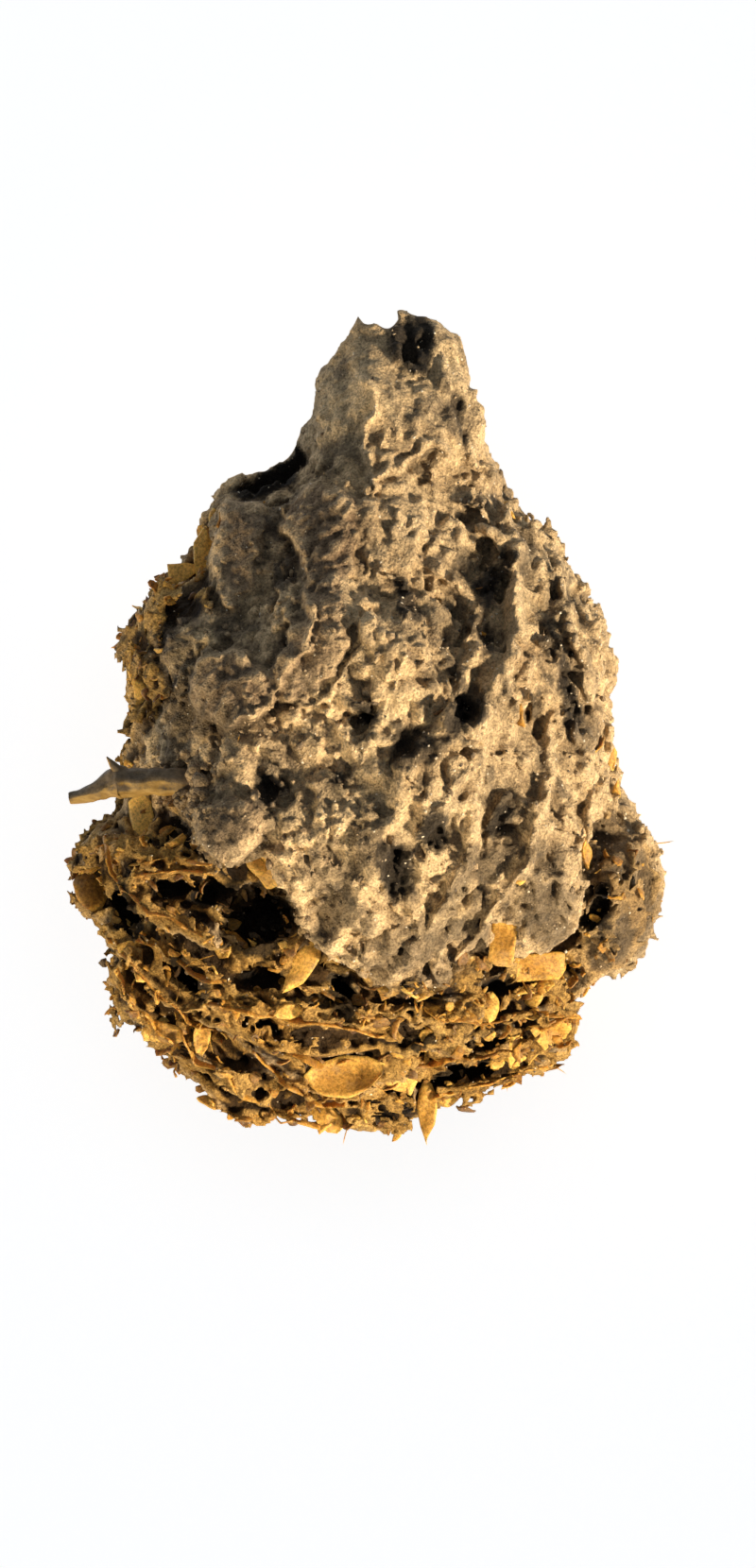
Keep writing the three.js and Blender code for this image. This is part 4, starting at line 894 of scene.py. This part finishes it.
def flake_arrays(outline, centre, axes, long, wide, thick, bow, rng, rows=16, columns=9):
    """One thin plate: points, quads and which quads are smooth. bow: how much its middle rises both ways."""
    u, v = np.meshgrid(np.linspace(-1, 1, rows), np.linspace(-1, 1, columns), indexing="ij")
    knots = np.array(OUTLINES[outline])
    jag = rng.uniform(-0.09, 0.09, (len(knots), 2))
    right = np.interp(u, knots[:, 0], knots[:, 1] + jag[:, 0])
    left = np.interp(u, knots[:, 0], knots[:, 2] + jag[:, 1])
    y = (right + (left - right) * (v + 1) / 2) * wide / 2
    skew = rng.uniform(-0.12, 0.12)
    x = u * long / 2 * (1 + skew * v)
    z = bow[0] * (1 - u * u) + bow[1] * (1 - v * v)
    wave = 0.035 * min(long, 2.5)
    z = z + wave * np.sin(2.6 * u * rng.uniform(0.6, 1.6) + 1.7 * v + rng.uniform(0, 6))
    z = z + 0.5 * wave * np.sin(5.5 * u + 3 * v * rng.uniform(0.6, 1.6) + rng.uniform(0, 6))
    layers = [np.stack([x, y, z + side * thick / 2], -1).reshape(-1, 3) for side in (1, -1)]
    points = np.concatenate(layers) @ np.asarray(axes) + centre
    return points, *sheet_quads(rows, columns)


class Pile:
    """Gathers many small plates or rods into one mesh, with a tone for each."""

    def __init__(self):
        self.points, self.quads, self.tones, self.soft, self.count = [], [], [], [], 0

    def add(self, points, quads, soft=None, tone=0.5):
        """tone is one number, or one for each point."""
        self.points.append(points)
        self.quads.append(np.asarray(quads) + self.count)
        self.soft.append(np.ones(len(quads), bool) if soft is None else soft)
        self.tones.append(np.broadcast_to(tone, len(points)))
        self.count += len(points)

    def build(self, name, material, stands_for=()):
        obj = fast_object(name, np.concatenate(self.points), np.concatenate(self.quads), NO_TRIS)
        store(obj, "tone", np.concatenate(self.tones))
        obj.data.polygons.foreach_set("use_smooth", np.concatenate(self.soft))
        obj.data.materials.append(material)
        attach(obj, "root")
        if stands_for:
            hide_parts(*stands_for)
        return obj


big_flakes = Pile()
for number, name in enumerate(flake_names):
    middle, axes, long, wide, bow = plate_frames[name]
    outline, tone = FLAKES[name]
    rng = np.random.default_rng(100 + number)
    plate = flake_arrays(outline, middle, axes, long * 1.04, wide * 1.06, FLAKE_THICK, bow, rng)
    along, across, _ = ((plate[0] - middle) @ axes.T).T
    rim = smooth(0.6, 1.0, np.maximum(2 * np.abs(along) / long, 2 * np.abs(across) / wide))
    big_flakes.add(*plate, tone=tone + 0.35 * rim)
big_flakes.build("bran_flakes", bran, flake_names)

# ---- small pieces all over

body_normals = read(body.data.vertices, "normal")
body_at = np.asarray(body_points)
masks = body.data.attributes
mask = {name: read(masks[name].data, "value", 1) for name in ("broken", "edge", "deep", "clay")}


def scatter(count, weight, seed):
    """Picks count vertices of the carved lump, more where weight is high."""
    rng = np.random.default_rng(seed)
    share = np.clip(weight, 0, None) * (body_at[:, 2] > 2)
    return rng.choice(len(body_at), count, replace=False, p=share / share.sum()), rng


def frame_at(normal, rng, lean):
    """Axes for a piece that lies on a surface: along, across and off it, leaned at random."""
    off = unit(normal + rng.normal(size=3) * lean)
    along = unit(np.cross(off, rng.normal(size=3)))
    return np.stack([along, np.cross(off, along), off])


chips = Pile()
rim_zone = smooth(15, 19, np.hypot(body_at[:, 0], body_at[:, 1] * 0.8)) * (body_at[:, 0] < 0)
rim_zone *= smooth(21, 18, body_at[:, 1])
lower_right = smooth(0, 5, body_at[:, 0]) * smooth(-10, -14, body_at[:, 1])
weight = 0.002 + mask["broken"] * (0.2 + mask["edge"]) * (0.6 + 1.2 * lower_right) + 0.2 * rim_zone
weight *= 1 - 0.9 * mask["deep"]
chosen, rng = scatter(CHIPS, weight, 60)
kinds = ("oval", "block", "shard", "shield", "wedge")
for n in chosen:
    long = rng.uniform(0.45, 1.3) * (1.6 if rng.random() < 0.12 else 1)
    wide = long * rng.uniform(0.35, 0.9)
    axes = frame_at(body_normals[n], rng, 0.85)
    bow = (rng.uniform(-0.15, 0.3) * long, rng.uniform(-0.1, 0.2) * wide)
    at = body_at[n] + body_normals[n] * rng.uniform(-0.15, 0.12)
    chip = flake_arrays(kinds[rng.integers(5)], at, axes, long, wide, CHIP_THICK, bow, rng, rows=6, columns=4)
    chips.add(*chip, tone=rng.beta(1.6, 1.9))
faces_up = np.flatnonzero(body_normals[:, 2] > 0.15)
for x, y, long, wide, turn, tone in SINGLE_CHIPS:
    away = (body_at[faces_up, :2] - (x, y)) ** 2
    n = faces_up[np.argmin(away.sum(1) - 0.002 * body_at[faces_up, 2])]
    off = unit(body_normals[n] + (0, 0, 0.9))
    along = np.array([math.cos(math.radians(turn)), math.sin(math.radians(turn)), 0])
    along = unit(along - off * (along @ off))
    axes = np.stack([along, np.cross(off, along), off])
    bow = (0.12 * long, 0.1 * wide)
    at = body_at[n] + off * 0.05
    kind = "shard" if long > 4 * wide else kinds[rng.integers(5)]
    chips.add(*flake_arrays(kind, at, axes, long, wide, 0.16, bow, rng, rows=10, columns=6), tone=tone)
chips.build("bran_chips", bran)

# the thin layers' own edges, which stand out of the broken end as ragged ribbons
surface_top = top_voxel(field)
ribbons = Pile()
rng = np.random.default_rng(62)
for path in LEDGES:
    knots = np.array(path)
    stations = np.concatenate([[0], np.cumsum(np.hypot(*np.diff(knots, axis=0).T))])
    steps = np.arange(0.2, stations[-1], 0.22)
    px = np.interp(steps, stations, knots[:, 0])
    py = np.interp(steps, stations, knots[:, 1])
    flat = np.stack([px, py, np.zeros(len(px))], 1).astype(np.float32)
    px, py = px + 0.35 * noise(flat, 1.3, 31) + 0.14 * noise(flat, 0.5, 33), py + 0.35 * noise(flat, 1.3, 32)
    base = zs[surface_top[np.searchsorted(xs, px), np.searchsorted(ys, py)]]
    base = np.convolve(np.pad(base, 3, mode="edge"), np.ones(7) / 7, mode="valid")
    outward = np.stack([px - AXIS_OF_LAYERS[0], py - AXIS_OF_LAYERS[1]], 1)
    outward /= np.linalg.norm(outward, axis=1)[:, None]
    stand = 0.35 + 0.35 * noise(flat, 0.9, 63) + 0.2 * noise(flat, 0.4, 64)
    taper = np.minimum(1, np.minimum(steps, stations[-1] - steps) / 1.2)
    stand = stand * taper - 0.4 * (1 - taper)
    lean = 0.25 + 0.3 * noise(flat, 1.7, 65)
    rows = []
    for share in (0.0, 0.35, 0.7, 1.0):
        height = -RIBBON_ROOT + share * (RIBBON_ROOT + stand)
        shift = lean * share * share
        rows.append(np.stack([px + outward[:, 0] * shift, py + outward[:, 1] * shift, base + height], 1))
    grid_points = np.stack(rows, 1)
    side = np.concatenate([outward, np.zeros((len(px), 1))], 1)[:, None] * RIBBON_THICK / 2
    both = np.concatenate([(grid_points + side).reshape(-1, 3), (grid_points - side).reshape(-1, 3)])
    ribbons.add(both, *sheet_quads(len(px), len(rows)), rng.uniform(0.3, 0.7))
ribbons.build("layer_edges", bran)


def rod_arrays(path, radii, sides=6):
    """A closed rod of quads along a path, with a radius at each of its points."""
    path = np.asarray(path, float)
    tangent = np.gradient(path, axis=0)
    tangent /= np.linalg.norm(tangent, axis=1)[:, None]
    side = np.cross(tangent, [0.3, 0.5, 0.81])
    side /= np.linalg.norm(side, axis=1)[:, None]
    up = np.cross(side, tangent)
    angle = np.linspace(0, 2 * np.pi, sides, endpoint=False)
    ring = np.cos(angle)[None, :, None] * side[:, None] + np.sin(angle)[None, :, None] * up[:, None]
    points = (path[:, None] + ring * np.asarray(radii)[:, None, None]).reshape(-1, 3)
    return points, tube_quads(len(path), sides)


fibres = Pile()
chosen, rng = scatter(FIBRES, 0.03 + mask["broken"] * (1 - mask["deep"]), 61)
for n in chosen:
    axes = frame_at(body_normals[n], rng, 0.8)
    length = rng.uniform(0.8, 3.2)
    t = np.linspace(-0.5, 0.5, 9)[:, None]
    arch = 0.12 + 0.25 * length * (0.25 - t * t) * rng.uniform(-1, 1.5)
    curve = body_at[n] + axes[0] * t * length + axes[2] * arch
    curve = curve + axes[1] * (t * t - 0.1) * length * rng.uniform(-0.6, 0.6)
    rod = rod_arrays(curve, FIBRE_RADIUS * (1.02 - (2 * t[:, 0]) ** 6), 5)
    fibres.add(*rod, tone=rng.uniform(0.3, 1.0))
fibres.build("fibres", bran)

# clods of earth that cling to the crust, thickest on the left and over the root of the straw
clod_mesh = bmesh.new()
bmesh.ops.create_icosphere(clod_mesh, subdivisions=1, radius=1.0)
clod_points = np.array([v.co for v in clod_mesh.verts])
clod_faces = np.array([[v.index for v in f.verts] for f in clod_mesh.faces])
clod_mesh.free()
on_left = smooth(2, -6, body_at[:, 0]) * smooth(20, 12, body_at[:, 1])
crust_only = (1 - mask["broken"]) * (1 - 0.8 * mask["clay"])
near_straw = smooth(2.6, 0.8, np.hypot(body_at[:, 0] + 13.4, 0.8 * (body_at[:, 1] + 0.1)))
near_straw *= body_at[:, 2] > 18
chosen, rng = scatter(CLODS, (0.1 + on_left + 14 * near_straw) * (crust_only + near_straw), 67)
count = len(chosen)
size = rng.uniform(0.14, 0.34, count) * np.where(rng.random(count) < 0.12, 1.6, 1)
size *= 1 + 0.5 * near_straw[chosen]
turns = np.linalg.qr(rng.normal(size=(count, 3, 3)))[0]
shape = clod_points[None] * rng.uniform((0.8, 0.6, 0.5), (1.3, 1.1, 0.8), (count, 3))[:, None]
shift = (clod_points[None] + 9.1 * np.arange(count)[:, None, None]).reshape(-1, 3).astype(np.float32)
shape = shape * (1 + 0.4 * noise(shift, 0.8, 68)).reshape(count, -1, 1) * size[:, None, None]
centre = body_at[chosen] + body_normals[chosen] * 0.1 * size[:, None]
lump_points = (shape @ turns + centre[:, None]).reshape(-1, 3)
lump_faces = (clod_faces[None] + len(clod_points) * np.arange(count)[:, None, None]).reshape(-1, 3)
clod = fast_object("earth_clods", lump_points, NO_QUADS, lump_faces)


def earth_material():
    n = Nodes("earth")
    earths = (0.09, 0.072, 0.055), (0.3, 0.22, 0.135), (0.5, 0.37, 0.22)
    tint = n.ramp(n.noise(260, 5, 0.65), zip((0.35, 0.52, 0.68), earths))
    sand = n.noise(*SAND_NOISE)
    dots = n.ramp(sand, [(0.34, (0.5, 0.48, 0.46)), (0.5, 1.0), (0.66, (1.5, 1.48, 1.42))])
    normal = n.bump(n.noise(*SPECK_NOISE), 0.24, 1.0, n.bump(sand, 0.1))
    return n.finish(n.mix(1.0, tint, dots, "MULTIPLY"), 0.93, normal, 0.25)


clod.data.materials.append(earth_material())
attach(clod, "root")

# grains of sand on the crust: small eight-sided crystals
OCTAHEDRON = np.array([(1, 0, 0), (-1, 0, 0), (0, 1, 0), (0, -1, 0), (0, 0, 1), (0, 0, -1)], float)
OCTAHEDRON_FACES = np.array(
    [(4, 0, 2), (4, 2, 1), (4, 1, 3), (4, 3, 0), (5, 2, 0), (5, 1, 2), (5, 3, 1), (5, 0, 3)]
)
chosen, rng = scatter(GRAINS, (1 - 0.7 * mask["broken"]) * (1 - 0.5 * mask["clay"]), 66)
size = rng.uniform(0.06, 0.15, len(chosen))
stretched = OCTAHEDRON[None] * rng.uniform(0.6, 1.3, (len(chosen), 1, 3)) * size[:, None, None]
spin = np.linalg.qr(rng.normal(size=(len(chosen), 3, 3)))[0]
turned_grains = np.einsum("nij,nkj->nki", spin, stretched)
at = body_at[chosen] + body_normals[chosen] * (0.25 * size)[:, None]
grain_points = (turned_grains + at[:, None]).reshape(-1, 3)
grain_faces = OCTAHEDRON_FACES[None] + 6 * np.arange(len(chosen))[:, None, None]
flip = np.linalg.det(spin) < 0
grain_faces[flip] = grain_faces[flip][:, :, ::-1]
sand = fast_object("sand_grains", grain_points, NO_QUADS, grain_faces.reshape(-1, 3))
store(sand, "tone", np.repeat(rng.uniform(0, 1, len(chosen)), 6))


def sand_material():
    n = Nodes("sand")
    tone = n.math("MULTIPLY_ADD", n.noise(3000, 2, 0.5), 0.2, n.attribute("tone"))
    sands = (0.05, 0.042, 0.035), (0.25, 0.18, 0.11), (0.5, 0.38, 0.23), (0.75, 0.66, 0.5)
    return n.finish(n.ramp(tone, zip((0.1, 0.35, 0.8, 1.0), sands)), 0.5)


sand.data.materials.append(sand_material())
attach(sand, "root")

# ---- the straw

STRAW = [
    (-11.6, -0.2, 25.4, 0.97), (-13.6, 0.1, 25.6, 1.05), (-15.6, 0.2, 25.4, 1.01), (-17.4, 0.1, 25.0, 0.97),
    (-18.1, 0.1, 24.8, 1.22), (-18.9, -0.1, 24.6, 0.88), (-20.2, -0.7, 24.2, 0.59), (-21.6, -1.0, 23.9, 0.42),
]


def straw_arrays(sides, rings=64):
    """The straw's skin: a rod along a smooth curve through STRAW, with grooves along it."""
    spine = np.array(STRAW)
    t = np.linspace(0, len(spine) - 1, rings)
    low = np.clip(np.floor(t).astype(int), 0, len(spine) - 2)
    s = (t - low)[:, None]
    before = spine[np.maximum(low - 1, 0)]
    after = spine[np.minimum(low + 2, len(spine) - 1)]
    a, b = spine[low], spine[low + 1]
    curve = 0.5 * (2 * a + (b - before) * s + (2 * before - 5 * a + 4 * b - after) * s**2
                   + (3 * a - before - 3 * b + after) * s**3)
    points, quads = rod_arrays(curve[:, :3], curve[:, 3], sides)
    centre = np.repeat(curve[:, :3], sides, axis=0)
    angle = np.tile(np.linspace(0, 2 * np.pi, sides, endpoint=False), rings)
    groove = 1 + 0.05 * np.sin(angle * 7) + 0.1 * noise(points.astype(np.float32), (1.6, 0.5, 0.5), 70)
    groove += 0.08 * noise(points.astype(np.float32), 0.4, 71)
    return centre + (points - centre) * groove[:, None], quads


straw = Pile()
sides = 28
straw_points, straw_quads = straw_arrays(sides)
straw.add(straw_points, straw_quads)
# the hollow inside its broken end
mouth = straw_points[-sides:]
middle = mouth.mean(0)
inner = middle + (mouth - middle) * 0.6
deep = inner + np.array([0.9, 0.2, 0.1])
bore = np.concatenate([mouth, inner, deep, np.repeat(deep.mean(0)[None], sides, 0)])
straw.add(bore, tube_quads(4, sides))
# the spur that stands on its node
spur_path = [(-18.2, 0.9, 25.2), (-18.6, 1.4, 25.4), (-19.0, 1.9, 25.5)]
straw.add(*rod_arrays(spur_path, [0.42, 0.26, 0.05], 8))


def straw_material():
    n = Nodes("straw")
    parts = n.node("SeparateXYZ", {0: n.node("NewGeometry").outputs["Normal"]})
    # the side facing +Y and up is painted dark grey: painted shade, with dust on it
    facing = n.math("ADD", n.times(parts.outputs["Y"], 0.9), n.times(parts.outputs["Z"], 0.25))
    shaded_dusty_side = n.ramp(n.math("ADD", facing, n.times(n.noise(420, 5, 0.7), 1.9)), [(0.72, 0.0), (1.0, 0.9)])
    gold = n.ramp(n.noise(800, 4, 0.6, (1, 3, 3)), [(0.3, (0.30, 0.165, 0.035)), (0.7, (0.62, 0.4, 0.12))])
    dust = n.ramp(n.noise(900, 6, 0.75), [(0.36, (0.035, 0.028, 0.021)), (0.64, (0.26, 0.2, 0.135))])
    color = n.mix(shaded_dusty_side, gold, dust)
    normal = n.bump(n.noise(1100, 5, 0.65), 0.14, 0.9)
    return n.finish(color, 0.6, normal, 0.35)


straw.build("dry_straw", straw_material(), ["straw"])

# ---- stage, lights, camera

floor_mesh = bpy.data.meshes.new("floor")
floor_corners = [(x * FLOOR, y * FLOOR, 0) for x, y in ((-1, -1), (1, -1), (1, 1), (-1, 1))]
floor_mesh.from_pydata(floor_corners, [], [(0, 1, 2, 3)])
floor = bpy.data.objects.new("floor", floor_mesh)
bpy.context.scene.collection.objects.link(floor)
pale = Nodes("pale_floor")
pale.shader.inputs["Emission Color"].default_value = (1, 1, 1, 1)
pale.shader.inputs["Emission Strength"].default_value = 0.86
floor.data.materials.append(pale.finish((0.85, 0.85, 0.85), 0.9))

world = bpy.data.worlds.new("studio")
bpy.context.scene.world = world
world.use_nodes = True
world.node_tree.nodes["Background"].inputs["Color"].default_value = (0.74, 0.86, 1.0, 1)
world.node_tree.nodes["Background"].inputs["Strength"].default_value = 0.1

RIM_HEIGHT = 0.018
CENTRE = Vector((0.0, 0.003, RIM_HEIGHT))


def area_light(name, azimuth, elevation, distance, size, power, color):
    """A square lamp that looks at the lump from a direction, in degrees from +X and above the floor."""
    a, e = math.radians(azimuth), math.radians(elevation)
    data = bpy.data.lights.new(name, "AREA")
    data.size = size
    data.energy = power
    data.color = color
    lamp = bpy.data.objects.new(name, data)
    direction = Vector((math.cos(a) * math.cos(e), math.sin(a) * math.cos(e), math.sin(e)))
    lamp.location = CENTRE + distance * direction
    lamp.rotation_euler = (CENTRE - lamp.location).to_track_quat("-Z", "Y").to_euler()
    bpy.context.scene.collection.objects.link(lamp)
    return lamp


key = area_light("key", -24, 34, 0.6, 0.06, 7.6, (1.0, 0.83, 0.6))
low_left = area_light("low_left", -125, 22, 0.6, 0.12, 3.0, (1.0, 0.8, 0.5))
area_light("overhead", 90, 80, 0.8, 0.6, 0.6, (0.9, 0.95, 1.0))

# the two raking lamps light the lump alone, so that they throw no shadow on the floor
lump_pieces = bpy.data.collections.new("lump_pieces")
for piece in bpy.context.scene.objects:
    if piece.type == "MESH" and piece is not floor:
        lump_pieces.objects.link(piece)
for lamp in (key, low_left):
    lamp.light_linking.receiver_collection = lump_pieces

camera_data = bpy.data.cameras.new("camera")
camera = bpy.data.objects.new("camera", camera_data)
bpy.context.scene.collection.objects.link(camera)
FRAME_HEIGHT = 1660 / 15 * MM  # what the picture's height covers at the lump's rim
CAMERA_DISTANCE = 1.0
SENSOR = 36
camera_data.sensor_width = SENSOR
camera_data.lens = SENSOR * CAMERA_DISTANCE / FRAME_HEIGHT
camera_data.clip_start = 0.05
camera_data.clip_end = 20
camera.location = (0, 0, RIM_HEIGHT + CAMERA_DISTANCE)
camera.rotation_euler = (0, 0, 0)
bpy.context.scene.camera = camera
bpy.context.scene.view_settings.view_transform = "Standard"
